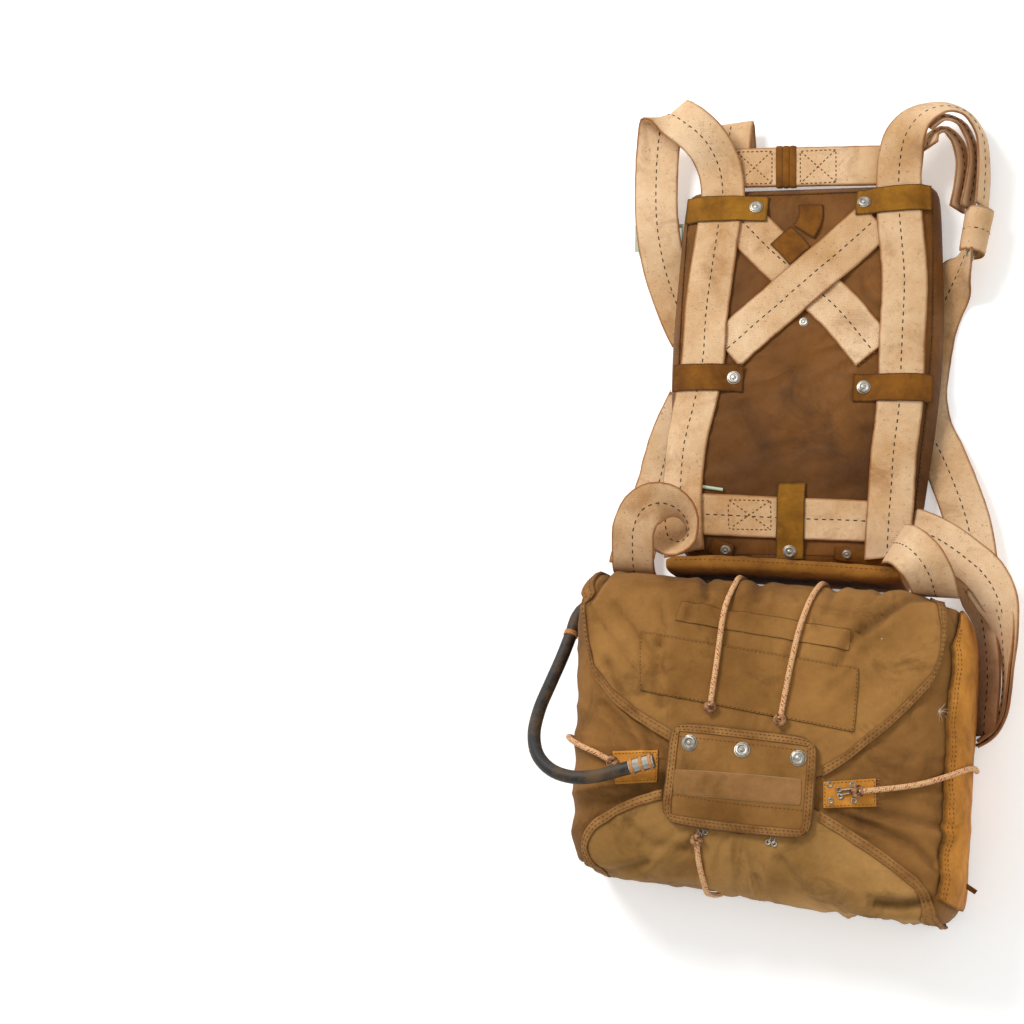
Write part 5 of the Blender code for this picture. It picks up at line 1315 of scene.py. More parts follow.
straps = {
    "strap_left": [
        (-91.0, -34.0, 8.0, 6, 0, 1), (-92.0, -5.0, 8.0, 2, 0, 1), (-92.0, 24.0, 8.0, -4, 0, 1),
        (-87.0, 72.0, 8.0, -8, 0, 1), (-75.0, 122.0, 8.0, -10, 0, 1),
        (-69.0, 159.0, 8.0, -6, 0, 1), (-66.0, 205.0, 8.0, -5, 0, 1),
        (-60.0, 250.0, 8.0, -6, 0, 1), (-54.0, 291.0, 20.0, -2, 0, 1),
        (-51.0, 318.0, 33.5, 6, 0, 1), (-54.0, 346.0, 36.5, 16, 0, 0),
        (-67.0, 373.0, 50.0, 30, 0, 0), (-87.0, 391.0, 55.0, 28, 0, 0),
        (-102.0, 401.0, 50.0, 20, 0, 0), (-112.0, 398.0, 38.0, 14, 0, 0),
        (-118.0, 378.0, 27.0, 10, 0, 0), (-121.0, 345.0, 21.0, 5, 0, 0),
        (-121.0, 302.0, 16.0, -2, 0, 0), (-118.0, 274.0, 10.0, -6, -4, 0),
        (-113.0, 250.0, 4.8, -8, -6, 0), (-108.0, 234.0, 2.6, -10, -2, 0),
        (-103.0, 220.0, 1.8, -14, 0, 0), (-97.0, 205.0, 1.8, -18, 0, 0),
        (-88.0, 186.0, 1.8, -22, 0, 0)],
    "strap_right": [
        (106.0, -44.0, 10.0, 4, 0, 1), (110.0, 6.0, 8.0, 4, 0, 1), (114.0, 55.0, 8.0, 3, 0, 1),
        (120.0, 102.0, 8.0, 1, 0, 1), (123.0, 163.0, 8.0, -3, 0, 1),
        (126.0, 226.0, 8.0, -1, 0, 1), (122.0, 287.0, 20.0, 0, 0, 1),
        (121.0, 314.0, 33.5, 0, 0, 1), (123.0, 344.0, 37.5, -8, 0, 0),
        (131.0, 367.0, 48.0, -30, 18, 0), (147.0, 383.0, 53.0, -55, 42, 0),
        (167.0, 390.0, 49.0, -85, 60, 0), (187.0, 384.0, 43.0, -125, 72, 0),
        (199.0, 366.0, 37.0, -150, 78, 0), (202.0, 342.0, 32.0, -170, 80, 0),
        (201.0, 316.0, 29.0, -183, 80, 0), (199.0, 295.5, 27.0, -188, 80, 0)],
    "strap_right_middle": [
        (149.0, 373.0, 48.0, -50, 55, 0), (166.0, 381.0, 46.0, -85, 64, 0),
        (181.0, 376.0, 41.0, -125, 72, 0), (190.0, 360.0, 36.0, -150, 78, 0),
        (193.0, 340.0, 32.0, -170, 80, 0), (189.5, 314.0, 29.0, -185, 80, 0),
        (185.0, 294.0, 27.0, -190, 80, 0)],
    "strap_right_inner": [
        (150.3, 351.6, 44.8, -20, 60, 0), (153.6, 364.0, 43.6, -50, 62, 0),
        (164.6, 370.0, 42.6, -90, 66, 0), (175.6, 362.0, 38.6, -140, 72, 0),
        (182.1, 342.0, 34.6, -165, 76, 0), (180.6, 316.0, 31.6, -185, 78, 0),
        (175.6, 293.0, 28.6, -190, 78, 0)],
    "strap_right_roll": [
        (182.0, 271.0, 34.0, 77, 0, 0), (188.0, 271.0, 42.5, 77, 0, 0),
        (198.0, 269.0, 42.5, 77, 0, 0), (205.0, 268.0, 31.0, 77, 0, 0),
        (201.0, 268.0, 17.0, 77, 0, 0), (190.0, 269.0, 12.0, 77, 0, 0),
        (182.0, 270.0, 15.0, 77, 0, 0)],
    "strap_right_lift": [
        (186.5, 257.0, 26.0, -192, -74, 0), (178.0, 237.0, 20.0, -190, -52, 0), (171.0, 227.0, 11.0, -190, -30, 0),
        (163.0, 214.0, 3.2, -192, -6, 0), (156.0, 200.0, 1.7, -190, 0, 0),
        (150.0, 182.0, 1.9, -180, 0, 0), (144.0, 150.0, 1.9, -180, 0, 0),
        (140.0, 116.0, 1.9, -174, 0, 0), (145.0, 84.0, 1.9, -158, 0, 0),
        (158.0, 55.0, 6.0, -156, -9, 0), (170.0, 24.0, 11.0, -160, -12, 0),
        (180.0, -8.0, 13.0, -168, -8, 0), (186.0, -42.0, 13.5, -173, -8, 0),
        (189.5, -66.0, 14.5, -176, -16, 0), (190.5, -80.0, 16.0, -178, -34, 0),
        (192.5, -95.0, 19.0, -180, -58, 0), (195.5, -112.0, 21.8, -180, -60, 0),
        (198.0, -135.0, 24.0, -180, -57, 0), (198.5, -165.0, 24.5, -182, -56, 0),
        (196.0, -190.0, 24.5, -186, -56, 0), (194.5, -212.0, 24.5, -190, -58, 0)],
    "strap_waist": [
        (-84.0, 3.0, 8.0, -92, 0, 1), (-40.0, 0.0, 8.0, -92, 0, 1), (0.0, -3.0, 8.0, -93, 0, 1),
        (45.0, -6.0, 8.0, -93, 0, 1), (88.0, -9.0, 8.0, -96, 0, 1),
        (112.0, -12.0, 8.0, -100, 0, 1), (136.0, -19.0, 31.5, -110, 0, 0),
        (158.0, -31.0, 40.0, -120, 0, 0), (181.0, -49.0, 47.0, -130, 0, 0),
        (200.0, -68.0, 56.0, -145, -12, 0), (211.5, -90.0, 62.0, -160, -28, 0),
        (217.0, -112.0, 58.0, -172, -54, 0), (218.5, -143.0, 44.0, -180, -75, 0),
        (217.0, -172.0, 34.0, -186, -80, 0), (212.0, -196.0, 29.0, -206, -80, 0),
        (203.0, -211.0, 26.0, -226, -80, 0), (195.0, -217.5, 25.0, -250, -80, 0),
        (187.5, -221.5, 25.0, -262, -80, 0)],
    "strap_left_low": [
        (-90.0, 122.0, 1.9, 168, 0, 0), (-103.0, 95.0, 1.9, 160, 0, 0),
        (-113.0, 66.0, 1.9, 164, 0, 0), (-120.0, 38.0, 2.4, 160, 0, 0),
        (-130.0, 10.0, 5.0, 165, 0, 0), (-139.0, -16.0, 10.0, 168, 0, 0),
        (-144.0, -44.0, 18.0, 172, 0, 0)],
    "leg_roll": [
        (-132.0, -58.8, 44.0, -5, 0, 0), (-131.0, -56.0, 62.0, -3, 0, 0),
        (-129.0, -37.0, 78.0, -4, 0, 0), (-126.0, -18.0, 87.0, -18, -4, 0),
        (-115.0, -1.0, 92.0, -50, -12, 0), (-99.0, 4.0, 91.0, -90, -28, 0),
        (-84.0, -1.0, 84.0, -130, -50, 0), (-76.0, -12.0, 74.0, -165, -66, 0),
        (-76.0, -24.0, 66.0, -195, -66, 0), (-85.0, -30.0, 60.0, -250, -54, 0),
        (-98.0, -26.0, 55.0, -310, -34, 0), (-103.0, -13.0, 51.0, -350, -16, 0),
        (-103.0, 2.0, 50.0, -360, -8, 0)],
    "pack_loop": [
        (156.0, -85.8, 60.0, -5, 0, 0), (155.5, -85.3, 82.0, -3, 0, 0),
        (152.0, -71.0, 101.0, 8, 0, 0), (145.0, -59.0, 107.0, 18, 0, 0),
        (136.0, -49.0, 103.0, 34, 0, 0), (127.0, -42.0, 90.0, 48, 0, 0),
        (120.0, -38.0, 74.0, 55, 0, 0), (116.0, -36.0, 58.0, 58, 0, 0)],
    "yoke_fold": [
        (-47.0, 345.0, 24.6, 0, 0, 0), (-47.0, 372.0, 25.0, 0, 0, 0),
        (-46.0, 390.0, 22.0, 2, 0, 0), (-45.0, 398.0, 17.0, 3, 0, 0),
        (-45.0, 391.0, 11.0, 3, 0, 0), (-44.0, 370.0, 8.5, 0, 0, 0),
        (-44.0, 346.0, 7.5, 0, 0, 0)],
    "diagonal_under": [
        (-33.0, 293.0, 12.0, -131, 0, 1), (-3.0, 260.0, 12.0, -133, 0, 1),
        (28.0, 230.0, 12.0, -134, 0, 1), (60.0, 200.0, 12.0, -137, 0, 1),
        (96.0, 154.0, 12.0, -142, 0, 1)],
    "diagonal_over": [
        (-47.0, 162.0, 12.0, -52, 0, 1), (-34.0, 173.0, 12.0, -52, 0, 1),
        (-12.0, 192.0, 12.0, -52, 0, 1), (8.0, 208.0, 12.0, -51, 0, 1),
        (40.0, 234.0, 12.0, -50, 0, 1), (62.0, 253.0, 12.0, -49, 0, 1),
        (84.0, 272.0, 12.0, -49, 0, 1), (99.0, 285.0, 12.0, -48, 0, 1)],
    "yoke": [
        (-72.0, 348.0, 30.0, -90, 0, 0), (-45.0, 348.0, 30.0, -90, 0, 0),
        (0.0, 347.0, 29.0, -92, 0, 0), (22.0, 346.0, 29.0, -92, 0, 0),
        (60.0, 344.0, 29.5, -92, 0, 0), (100.0, 342.0, 30.0, -92, 0, 0),
        (138.0, 340.0, 30.0, -92, 0, 0)],
}
strapWidths = {"strap_waist": 40.0, "leg_roll": 41.0, "yoke": 40.0}
strapOrder = ["strap_waist", "diagonal_under", "diagonal_over", "strap_left", "strap_right",
              "strap_right_middle", "strap_right_inner", "strap_right_roll", "strap_right_lift",
              "strap_left_low", "leg_roll", "pack_loop", "yoke_fold", "yoke"]
padStack = ["backPad", "backPadBinding", "strapWaist", "diagonalUnder", "diagonalOver"]
webbingLook = {"width": 43.7, "thick": 2.6, "step": 5.0, "gap": 0.5, "wobble": 0.5, "selvedge": 0.45}
keeperLook = {"width": 27.0, "thick": 1.5, "step": 3.0, "gap": 0.5, "wobble": 0.35, "selvedge": 0.3}


def camel(node):
    first, *rest = node.split("_")
    return first + ("".join(word.capitalize() for word in rest) or "Webbing")


def layWebbing(name, node, rows, width, look, material, under=(), thick=None, centre=True,
               thread="darkThread"):
    # A length of webbing that lies on the pieces under it where its rows are bedded
    thick = thick or look["thick"]
    path = readRows(rows, look["step"])
    shares = (-0.5, -0.482, -0.42, -0.28, -0.14, 0.0, 0.14, 0.28, 0.42, 0.482, 0.5)
    seed = float(sum(ord(letter) for letter in node))
    middles = [Vector(row[:3]) for row in path]
    ways = [(middles[min(i + 1, len(path) - 1)] - middles[max(i - 1, 0)]).normalized()
            for i in range(len(path))]
    along = [0.0]
    for one, two in zip(middles, middles[1:]):
        along.append(along[-1] + (two - one).length)
    sides, sheet = [], []
    for i, (x, y, z, turn, tilt, bed) in enumerate(path):
        turn, tilt = math.radians(turn), math.radians(tilt)
        side = Vector((math.cos(tilt) * math.cos(turn), math.cos(tilt) * math.sin(turn), math.sin(tilt)))
        if bed <= 0.5:
            side = (side - ways[i] * side.dot(ways[i])).normalized()
        sides.append(side)
        row = []
        for s in shares:
            sway = look["selvedge"] * noise.noise(Vector((along[i] / 11, s * 2, seed))) * abs(s) * 2
            row.append(middles[i] + side * (s * width + sway))
        sheet.append(row)
    bedded = [row[5] > 0.5 for row in path]
    if under and any(bedded):
        lift = thick / 2 + look["gap"]
        floorLine = []
        for i, row in enumerate(sheet):
            heights = []
            for point in row:
                found = lookDown(under, point.x, point.y)
                heights.append((found[0] if found else padHeights(point.x, point.y)[0]) + lift)
            floorLine.append(heights if bedded[i] else [point.z for point in row])
        field = [list(heights) for heights in floorLine]
        for _ in range(14):
            smoothed = []
            for i, heights in enumerate(field):
                rowAbove, rowBelow = field[max(i - 1, 0)], field[min(i + 1, len(field) - 1)]
                line = []
                for j, own in enumerate(heights):
                    near = (rowAbove[j] + rowBelow[j] + heights[max(j - 1, 0)]
                            + heights[min(j + 1, len(heights) - 1)]) / 4
                    line.append(max(floorLine[i][j], 0.3 * own + 0.7 * near))
                smoothed.append(line)
            field = smoothed
        for i, row in enumerate(sheet):
            if bedded[i]:
                for j, point in enumerate(row):
                    point.z = max(field[i][j], point.z)
    frames, uvs, wear = [], [], []
    for i, row in enumerate(sheet):
        frameRow = []
        for j, point in enumerate(row):
            onward = sheet[min(i + 1, len(sheet) - 1)][j] - sheet[max(i - 1, 0)][j]
            across = row[min(j + 1, len(row) - 1)] - row[max(j - 1, 0)]
            square = across.cross(onward).normalized()
            ripple = look["wobble"] * noise.noise(Vector((along[i] / 30, shares[j] * 1.5, seed + 3)))
            ripple *= 0.4 if bedded[i] else 1.0
            frameRow.append((point + square * (ripple + (0.2 if bedded[i] else 0.0)), square))
        frames.append(frameRow)
        uvs.append([((s + 0.5) * width, along[i]) for s in shares])
        end = min(i, len(sheet) - 1 - i) * look["step"]
        wear.append([max(0.0, 1.0 - (0.5 - abs(s)) * 6.0, 0.95 - end * 0.12) for s in shares])
    upper = [[p + q * (thick / 2 * (0.35 if abs(s) > 0.49 else 0.8 if abs(s) > 0.47 else 1.0))
              for (p, q), s in zip(row, shares)] for row in frames]
    lower = [[p - q * (thick / 2 * (0.35 if abs(s) > 0.49 else 0.8 if abs(s) > 0.47 else 1.0))
              for (p, q), s in zip(row, shares)] for row in frames]
    for grid in (upper, lower):
        for row in grid:
            for point in row:
                point.z = max(point.z, 0.3)
    piece = buildSlab(name, upper, lower, uvs, wear, material, (node,) if node else ())
    plantTree(piece)
    normals = [[q for _, q in row] for row in frames]
    if centre:
        stitchColumn(thread, upper, normals, 0.5)
        opposite = [[-q for q in row] for row in normals]
        stitchColumn(thread, lower, opposite, 0.5)
    return piece, upper, normals


def makeStraps():
    for node in strapOrder:
        rows = straps[node]
        under = padStack[:2 + [camel(n) for n in strapOrder[:3]].index(camel(node))] if (
            node in strapOrder[:3]) else padStack
        thick = 5.4 if node == "yoke" else None
        _, upper, normals = layWebbing(
            camel(node), node, rows, strapWidths.get(node, 43.7), webbingLook, "harnessWebbing",
            under, thick, centre=node != "yoke")
        if node in ("strap_left_low", "diagonal_over", "diagonal_under", "strap_waist", "yoke_fold"):
            for end in (0, -1):
                way = upper[end][5] - upper[-2 if end else 1][5]
                for j in range(1, 10):
                    frayOut(upper[end][j], way, 2, 3.0, 0.25, 0.8)
    print("straps laid:", len(strapOrder))


keepers = {  # node: rows, width, material
    "keeper_top_left": ([
        (-88.0, 306.3, 0.0, -93, 0, 1), (-80.0, 306.0, 0.0, -93, 0, 1),
        (-54.0, 305.0, 0.0, -93, 0, 1), (-26.0, 303.5, 0.0, -93, 0, 1),
        (-18.0, 303.0, 0.0, -93, 0, 1), (-6.0, 302.0, 0.0, -93, 0, 1)], 27.0, "oliveTape"),
    "keeper_top_right": ([
        (80.0, 303.0, 0.0, -90, 0, 1), (92.0, 303.5, 0.0, -90, 0, 1),
        (99.0, 304.0, 0.0, -89, 0, 1), (122.0, 305.0, 0.0, -88, 0, 1),
        (147.0, 305.0, 0.0, -88, 0, 1), (152.0, 305.0, 0.0, -88, 0, 1)], 27.0, "oliveTape"),
    "keeper_middle_left": ([
        (-100.0, 137.3, 0.0, -93, 0, 1), (-94.0, 137.0, 0.0, -93, 0, 1),
        (-72.0, 136.0, 0.0, -93, 0, 1), (-47.0, 134.5, 0.0, -93, 0, 1),
        (-39.0, 134.0, 0.0, -93, 0, 1), (-30.0, 133.0, 0.0, -93, 0, 1)], 27.0, "rustyTape"),
    "keeper_middle_right": ([
        (76.0, 119.5, 0.0, -93, 0, 1), (88.0, 119.0, 0.0, -93, 0, 1),
        (97.0, 118.8, 0.0, -93, 0, 1), (121.0, 118.0, 0.0, -92, 0, 1),
        (146.0, 117.0, 0.0, -92, 0, 1), (151.0, 116.8, 0.0, -92, 0, 1)], 27.0, "rustyTape"),
    "keeper_waist": ([
        (16.5, 30.0, 0.0, 180, 0, 1), (16.0, 22.0, 0.0, 180, 0, 1),
        (15.0, -3.0, 0.0, 180, 0, 1), (14.0, -27.0, 0.0, 180, 0, 1),
        (13.6, -34.0, 0.0, 180, 0, 1), (13.0, -43.0, 0.0, 180, 0, 1)], 27.0, "oliveTape"),
    "tab_low_left": ([(-63.0, -27.0, 0.0, -114, 0, 1), (-54.0, -31.0, 0.0, -114, 0, 1),
        (-42.0, -35.0, 0.0, -105, 0, 1)], 15.0, "rustyTape"),
    "cross_keeper": ([(7.0, 274.0, 0.0, -138, 0, 1), (18.0, 262.0, 0.0, -138, 0, 1),
        (26.0, 252.0, 0.0, -138, 0, 1)], 27.0, "rustyTape"),
    "cross_keeper_end": ([(36.0, 304.0, 0.0, 178, 0, 1), (36.0, 290.0, 0.0, 172, 0, 1),
                          (29.0, 277.0, 0.0, 145, 0, 1)], 24.0, "rustyTape"),
}


def makeKeepers():
    under = padStack + ["strapLeft", "strapRight"]
    for node, (rows, width, material) in keepers.items():
        _, upper, normals = layWebbing(camel(node), node, rows, width, keeperLook, material,
                                       under, centre=False)
        for share in (0.12, 0.88):
            stitchColumn("tanThread", upper, normals, share, long=2.4, gap=1.2, wide=0.6)
        if node.startswith(("cross", "tab")):
            under = under + [camel(node)]


def makeSmallTabs():
    # Little tabs without a solid of their own in the CAD
    rows = [(56.0, -38.0, 0.0, -100, 0, 1), (80.0, -42.0, 0.0, -98, 0, 1), (106.0, -46.5, 0.0, -96, 0, 1)]
    layWebbing("tabLowRight", "", rows, 12.0, keeperLook, "rustyTape", padStack, centre=False)
    path = readRows([(172.0, -347.0, 48.0), (180.0, -352.0, 48.0), (186.0, -356.0, 47.0)], 2.0)
    buildTube("footTab", path, 3.0, 10, "rustyTape", squash=0.4)


def makeWaistLining():
    # The second layer of the waist webbing's loop, sewn inside the first
    rows = [(196.0, -70.0, 52.0, -145, -12, 0), (207.5, -92.0, 58.0, -160, -28, 0),
            (213.2, -113.0, 55.0, -172, -54, 0), (214.9, -143.0, 43.0, -180, -75, 0),
            (213.4, -171.0, 33.5, -186, -80, 0), (208.8, -194.0, 28.5, -206, -80, 0),
            (200.8, -207.8, 25.5, -226, -80, 0), (193.5, -213.5, 24.8, -250, -80, 0),
            (187.5, -217.8, 24.8, -262, -80, 0)]
    layWebbing("strapWaistLining", "", rows, 40.0, webbingLook, "harnessWebbing")


def makeYokeBand():
    # Tape wound round the yoke and sewn: rounded loops of tape side by side
    path = readRows(straps["yoke"], 1.0)
    for number, first in enumerate((1.0, 7.7, 14.4)):
        rings = []
        for x in np.linspace(first, first + 6.5, 6):
            row = path[int(np.argmin(abs(path[:, 0] - x)))]
            y, z = row[1], row[2]
            share = (x - first) / 6.5
            grow = 0.9 + 0.7 * math.sin(math.pi * share) ** 0.5
            ring = []
            for k in range(32):
                angle = 2 * math.pi * k / 32
                cx, cy = math.cos(angle), math.sin(angle)
                ring.append((x, y + math.copysign(abs(cx) ** 0.35, cx) * (20.0 + grow),
                             z + math.copysign(abs(cy) ** 0.6, cy) * (2.7 + grow)))
            rings.append(ring)
        points = [p for ring in rings for p in ring]
        faces = []
        for i in range(len(rings) - 1):
            for k in range(32):
                n = (k + 1) % 32
                faces.append((i * 32 + k, i * 32 + n, (i + 1) * 32 + n, (i + 1) * 32 + k))
        faces += [tuple(range(32)), tuple(range(len(points) - 32, len(points)))]
        uvs = [[(points[v][0], points[v][1] + points[v][2]) for v in face] for face in faces]
        wear = [0.9 if v // 32 in (0, 5) else 0.2 for v in range(len(points))]
        buildPiece(f"yokeBand{number + 1}", points, faces, uvs, wear, "rustyTape", ("yoke_band",))


def sewBoxes():
    # Boxes of stitches where one layer of webbing is sewn to another
    for corners in ([(25, 361), (60, 360), (60, 327), (25, 328)],
                    [(-38, 364), (-3, 363), (-3, 330), (-38, 331)]):
        boxStitch("tanThread", ["yokeWebbing"], corners, long=3.0, gap=1.5)
    boxStitch("tanThread", ["strapWaist"], [(-45, 15), (-4, 13), (-4, -15), (-45, -13)],
              long=3.0, gap=1.5)


# Metal parts

snapLook = {"high": 0.24, "dome": 0.10}
snaps = {  # node: places seen from above, what it is on, diameter
    "pin_snap_1": ((-62.6, -226.5), ("pinFlap", "pinFlapBinding"), 14.5),
    "pin_snap_2": ((-13.6, -233.4), ("pinFlap", "pinFlapBinding"), 14.5),
    "pin_snap_3": ((37.0, -240.6), ("pinFlap", "pinFlapBinding"), 14.5),
    "snap_top_left": ((-17.0, 304.0), ("keeperTopLeft", "backPad"), 13.0),
    "snap_top_right": ((88.0, 303.0), ("keeperTopRight", "backPad"), 13.0),
    "snap_middle_left": ((-39.0, 134.0), ("keeperMiddleLeft", "backPad"), 13.0),
    "snap_middle_right": ((86.5, 119.5), ("keeperMiddleRight", "backPad"), 13.0),
    "snap_waist": ((13.3, -36.0), ("keeperWaist", "backPad"), 13.0),
    "snap_low_left": ((-49.0, -33.0), ("tabLowLeft", "backPad"), 10.0),
    "": ((68.0, -40.0), ("tabLowRight", "backPad"), 9.0),
    "snap_stud": ((29.0, 187.0), ("backPad",), 9.0),
}


def modelSnap():
    # One snap of a millimetre across: flange, stepped ring, groove and centre post
    bpy.ops.object.select_all(action="DESELECT")
    bpy.ops.mesh.primitive_cylinder_add(vertices=40, radius=0.5, depth=0.10, location=(0, 0, 0.05))
    snap = bpy.context.active_object
    bpy.ops.object.mode_set(mode="EDIT")
    bpy.ops.mesh.select_mode(type="FACE")
    bpy.ops.mesh.select_all(action="DESELECT")
    bpy.ops.object.mode_set(mode="OBJECT")
    top = max(snap.data.polygons, key=lambda polygon: polygon.center.z)
    top.select = True
    bpy.ops.object.mode_set(mode="EDIT")
    for inward, rise in ((0.05, 0.0), (0.04, snapLook["dome"]), (0.08, 0.02), (0.05, 0.0),
                         (0.03, -0.07), (0.09, 0.0), (0.02, 0.06), (0.06, 0.02)):
        bpy.ops.mesh.inset(thickness=inward, depth=rise)
    bpy.ops.mesh.select_all(action="SELECT")
    bpy.ops.mesh.normals_make_consistent(inside=False)
    bpy.ops.object.mode_set(mode="OBJECT")
    bevel = snap.modifiers.new("bevel", "BEVEL")
    bevel.width = 0.012
    bevel.segments = 2
    bevel.angle_limit = math.radians(28)
    bpy.ops.object.modifier_apply(modifier="bevel")
    bpy.ops.object.shade_smooth_by_angle(angle=math.radians(40))
    snap.data.materials.append(materials["dullNickel"])
    return snap


def placeCopy(model, name, node, place, turn, size):
    # A copy of a model with a mesh of its own, set down in the plan
    mesh = model.data.copy()
    move = Matrix.LocRotScale((Vector(place) + planShift) * mm, turn, Vector((size * mm,) * 3))
    mesh.transform(move)
    piece = bpy.data.objects.new(name, mesh)
    bpy.context.scene.collection.objects.link(piece)
    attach(piece, "root")
    if node:
        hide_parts(node)
    return piece


def makeSnaps():
    model = modelSnap()
    for node, ((x, y), names, diameter) in snaps.items():
        known = [name for name in names if name in trees]
        heights, normal = [], Vector((0.0, 0.0, 0.0))
        for k in range(13):
            share = 0.0 if k == 12 else 0.42
            angle = math.pi * k / 6
            found = lookDown(known, x + share * diameter * math.cos(angle),
                             y + share * diameter * math.sin(angle))
            if found:
                heights.append(found[0])
                normal += found[1] if found[1].z > 0 else -found[1]
        lean = Vector((0.0, 0.0, 1.0)).rotation_difference(normal.normalized())
        z = sum(heights) / len(heights) + 0.15
        placeCopy(model, camel(node or "snap_low_right"), node, (x, y, z), lean, diameter)
    bpy.data.objects.remove(model)


grommetPlaces = [(64.0, -263.6), (65.0, -278.0), (84.5, -263.6), (85.5, -278.0)]


def makeGrommets():
    bpy.ops.object.select_all(action="DESELECT")
    bpy.ops.mesh.primitive_torus_add(major_segments=24, minor_segments=10, major_radius=0.40,
                                     minor_radius=0.12)
    model = bpy.context.active_object
    bpy.ops.object.shade_smooth()
    model.data.materials.append(materials["dullNickel"])
    for number, (x, y) in enumerate(grommetPlaces):
        found = lookDown(["tabRight"], x, y)
        lean = Vector((0.0, 0.0, 1.0)).rotation_difference(found[1])
        placeCopy(model, f"grommet{number + 1}", None, (x, y, found[0] + 0.2), lean, 5.6)
    bpy.data.objects.remove(model)


hookPlaces = {  # hook's ring end, its bent end, what it lies on
    "hookRight": ((73.0, -271.0), (88.0, -268.5), "tabRight"),
    "hookFree": ((11.0, -316.0), (15.0, -302.0), "flapBottom"),
    "hookLeft": ((-52.0, -308.0), (-57.0, -297.0), "flapBottom"),
}


def makeHooks():
    # Wire hooks: two shanks with a sewing ring each, joined by a bend at the tip
    for name, (foot, tip, bed) in hookPlaces.items():
        way = Vector((tip[0] - foot[0], tip[1] - foot[1], 0.0))
        found = lookDown([bed], *foot)
        z = found[0] + 1.2
        angle = math.atan2(way.y, way.x)
        middle = (Vector((*foot, z)) + way / 2 + planShift) * mm
        aside = Vector((-math.sin(angle), math.cos(angle), 0.0)) * mm
        parts = []
        for hand in (-1, 1):
            bpy.ops.mesh.primitive_cylinder_add(
                vertices=12, radius=0.75 * mm, depth=way.length * mm,
                location=middle + aside * (1.9 * hand),
                rotation=(math.pi / 2, 0, angle + math.pi / 2 - 0.05 * hand))
            parts.append(bpy.context.active_object)
            at = (Vector((*foot, z)) + planShift) * mm + aside * (2.9 * hand)
            bpy.ops.mesh.primitive_torus_add(major_segments=20, minor_segments=8, major_radius=2.1 * mm,
                                             minor_radius=0.7 * mm, location=at)
            parts.append(bpy.context.active_object)
        at = (Vector((*tip, z + 1.0)) + planShift) * mm
        bpy.ops.mesh.primitive_torus_add(major_segments=20, minor_segments=8, major_radius=2.3 * mm,
                                         minor_radius=0.75 * mm, location=at,
                                         rotation=(0, -0.5, angle))
        parts.append(bpy.context.active_object)
        bpy.ops.object.select_all(action="DESELECT")
        for item in parts:
            item.select_set(True)
        shank = parts[0]
        bpy.context.view_layer.objects.active = shank
        bpy.ops.object.join()
        bpy.ops.object.transform_apply(location=True, rotation=True, scale=True)
        bpy.ops.object.shade_smooth_by_angle(angle=math.radians(50))
        shank.name = name
        shank.data.materials.append(materials["dullNickel"])
        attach(shank, "root")


def makeWaistRing():
    # The edge of a pale green ring where the waist webbing passes under the left strap
    bpy.ops.object.select_all(action="DESELECT")
    bpy.ops.mesh.primitive_cylinder_add(vertices=16, radius=0.07, depth=1.0, rotation=(0, math.pi / 2, 0))
    model = bpy.context.active_object
    bpy.ops.object.transform_apply(location=True, rotation=True, scale=True)
    bpy.ops.object.shade_smooth_by_angle(angle=math.radians(50))
    model.data.materials.append(materials["paleGreenPaint"])
    found = lookDown(["backPad"], -62.0, 27.5)
    lean = Matrix.Rotation(math.radians(-10), 4, "Z").to_quaternion()
    ring = placeCopy(model, "waistRing", None, (-62.0, 27.0, found[0] + 1.8), lean, 24.0)
    bpy.data.objects.remove(model)


def paintNode(node, material):
    for place in bpy.data.objects[node].material_slots:
        place.material = materials[material]


looseThreads = [  # places in the plan: first, bend, end
    ((-57.0, 131.0, 27.0), (-49.0, 126.0, 29.5), (-42.0, 118.0, 26.5)),
    ((-57.0, 131.0, 27.0), (-52.0, 119.0, 28.5), (-55.0, 112.0, 25.5)),
]


def makeLooseBits():
    for line in looseThreads:
        frayStrands["frayedCotton"].append(([Vector(p) for p in line], 0.35))
    for node in ("tabLeft", "tabRight"):
        corners = patches[node]
        ends = (corners[0], corners[3]) if node == "tabLeft" else (corners[1], corners[2])
        out = Vector((-1.0, 0.0, 0.0)) if node == "tabLeft" else Vector((1.0, 0.0, 0.0))
        for t in np.linspace(0.05, 0.95, 9):
            x = ends[0][0] + (ends[1][0] - ends[0][0]) * t
            y = ends[0][1] + (ends[1][1] - ends[0][1]) * t
            point, square = faceFrame(x, y)
            frayOut(point + square * 4.0, out, 3, 4.0, 0.25, 0.6)
    for x, y in ((98.0, -379.0), (150.0, -341.0)):
        point, square = faceFrame(x, y)
        frayOut(point + square * 5.6, Vector((0.7, -0.5, 0.0)), 4, 5.0, 0.22, 0.9)
    for x, y, count, length in ((160.0, -197.0, 12, 15.0), (111.0, -133.0, 4, 2.5)):
        point, square = faceFrame(x, y)
        for turn in range(count):
            angle = 2.4 * turn
            way = Vector((math.cos(angle), math.sin(angle), -0.12))
            high = lifts["side"][1] if x > 150 else lifts["over"][1]
            frayOut(point + square * (high + 0.35), way, 1, length, 0.24, 0.35, "paleThread")


# Floor and light

studio = {"floor": 6.0, "world": "#FFFFFF", "worldStrength": 0.62, "floorGlow": 0.3}


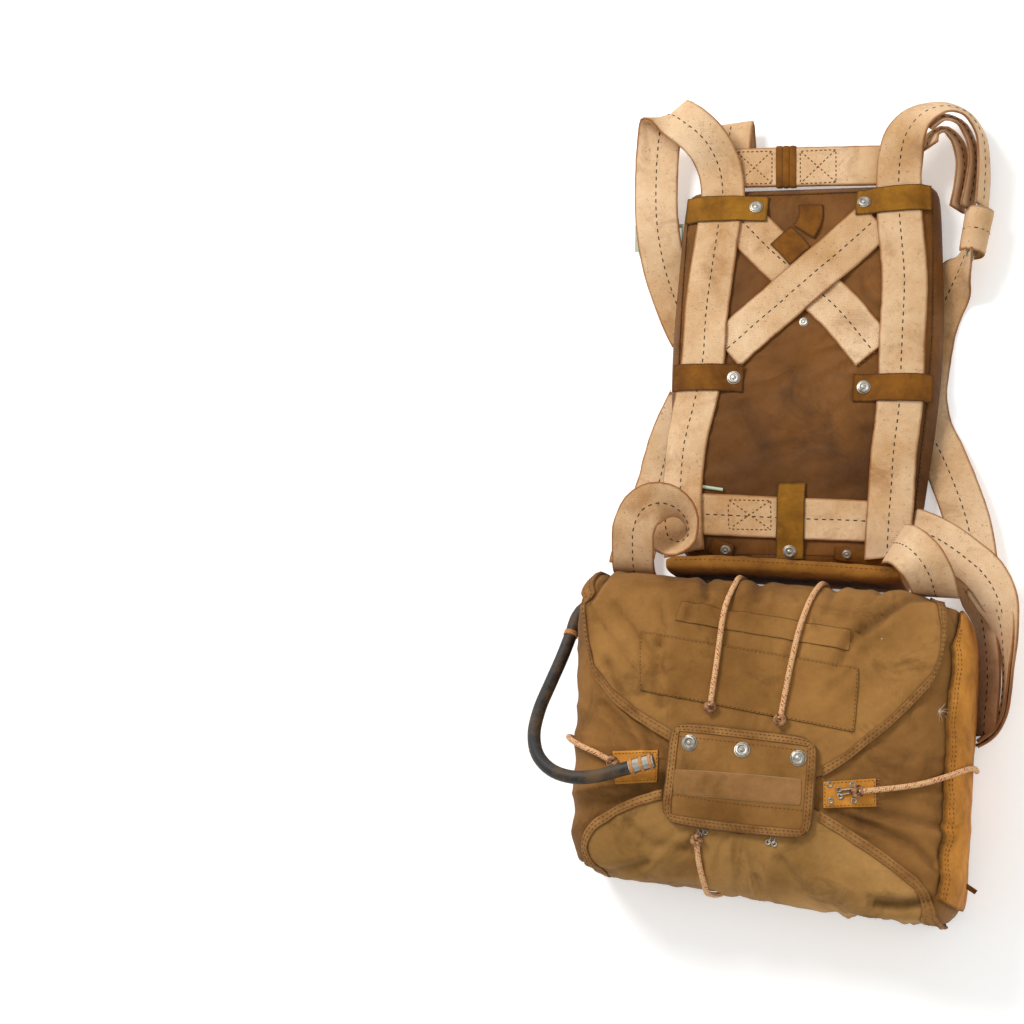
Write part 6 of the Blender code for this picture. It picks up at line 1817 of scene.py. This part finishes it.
def makeStudio():
    bpy.ops.mesh.primitive_plane_add(size=studio["floor"], location=(0, 0, -0.0003))
    floor = bpy.context.active_object
    floor.name = "floor"
    floor.data.materials.append(materials["studioFloor"])
    glow = materials["studioFloor"].node_tree.nodes["Principled BSDF"]
    glow.inputs["Emission Color"].default_value = fromHex("#FFFFFF")
    glow.inputs["Emission Strength"].default_value = studio["floorGlow"]
    world = bpy.data.worlds.new("softWhite")
    world.use_nodes = True
    shade = world.node_tree.nodes["Background"]
    shade.inputs["Color"].default_value = fromHex(studio["world"])
    shade.inputs["Strength"].default_value = studio["worldStrength"]
    bpy.context.scene.world = world
    for name, place, aim, size, power in (
            ("keyLight", (-1.0, 1.1, 1.7), (0.0, 0.0, 0.0), 0.8, 34.0),
            ("fillLight", (1.4, -0.6, 1.6), (0.0, 0.0, 0.0), 1.6, 7.0)):
        data = bpy.data.lights.new(name, "AREA")
        data.shape = "DISK"
        data.size = size
        data.energy = power
        light = bpy.data.objects.new(name, data)
        light.location = place
        light.rotation_euler = (Vector(aim) - Vector(place)).to_track_quat("-Z", "Y").to_euler()
        bpy.context.scene.collection.objects.link(light)
    bpy.context.scene.view_settings.view_transform = "Standard"


def saveSizes():
    low, high = Vector((1e9,) * 3), Vector((-1e9,) * 3)
    for piece in bpy.data.objects:
        if piece.type != "MESH" or piece.name == "floor" or piece.hide_render:
            continue
        for corner in piece.bound_box:
            place = piece.matrix_world @ Vector(corner)
            low = Vector(map(min, low, place))
            high = Vector(map(max, high, place))
    print("visual box", [round(v, 4) for v in (*low, *high)])


makeCamera()
makeHose()
paintNode("ferrule", "dullNickel")
makePackBody()
makeFlap("flapLeft", "flap_left", "topLeft", "bottomLeft", 2.0, "side", "shadedSideDuck")
makeFlap("flapRight", "flap_right", "bottomRight", "topRight", 2.0, "side", "shadedSideDuck")
makeFlap("flapTop", "flap_top", "topRight", "topLeft", 0.0, "over")
plantTree(makeFlap("flapBottom", "flap_bottom", "bottomLeft", "bottomRight", 0.0, "over", "lowDuck"))
makeFlapBinding("bindingTopLeft", "binding_top_left", "topLeft", -1.0, 0.6)
makeFlapBinding("bindingTopRight", "binding_top_right", "topRight", 1.0)
makeFlapBinding("bindingBottomLeft", "binding_bottom_left", "bottomLeft", 1.0, 0.0, -0.62)
makeFlapBinding("bindingBottomRight", "binding_bottom_right", "bottomRight", -1.0)
makeFacePieces()
makeSideBand()
makeElastics()
print("pack made")
makeSeatCushion()
makeBackPad()
makePadBinding()
makeStraps()
makeWaistLining()
makeSmallTabs()
makeYokeBand()
makeKeepers()
sewBoxes()
print("harness made")
for name in ("pinFlap", "pinFlapBinding", "tabRight"):
    plantTree(bpy.data.objects[name])
makeSnaps()
makeGrommets()
makeHooks()
makeWaistRing()
for node in ("adjuster_left", "adjuster_right"):
    paintNode(node, "paleGreenPaint")
makeLooseBits()
layStrands("frayedCotton")
layStrands("paleThread")
sewSeams()
makeStudio()
saveSizes()
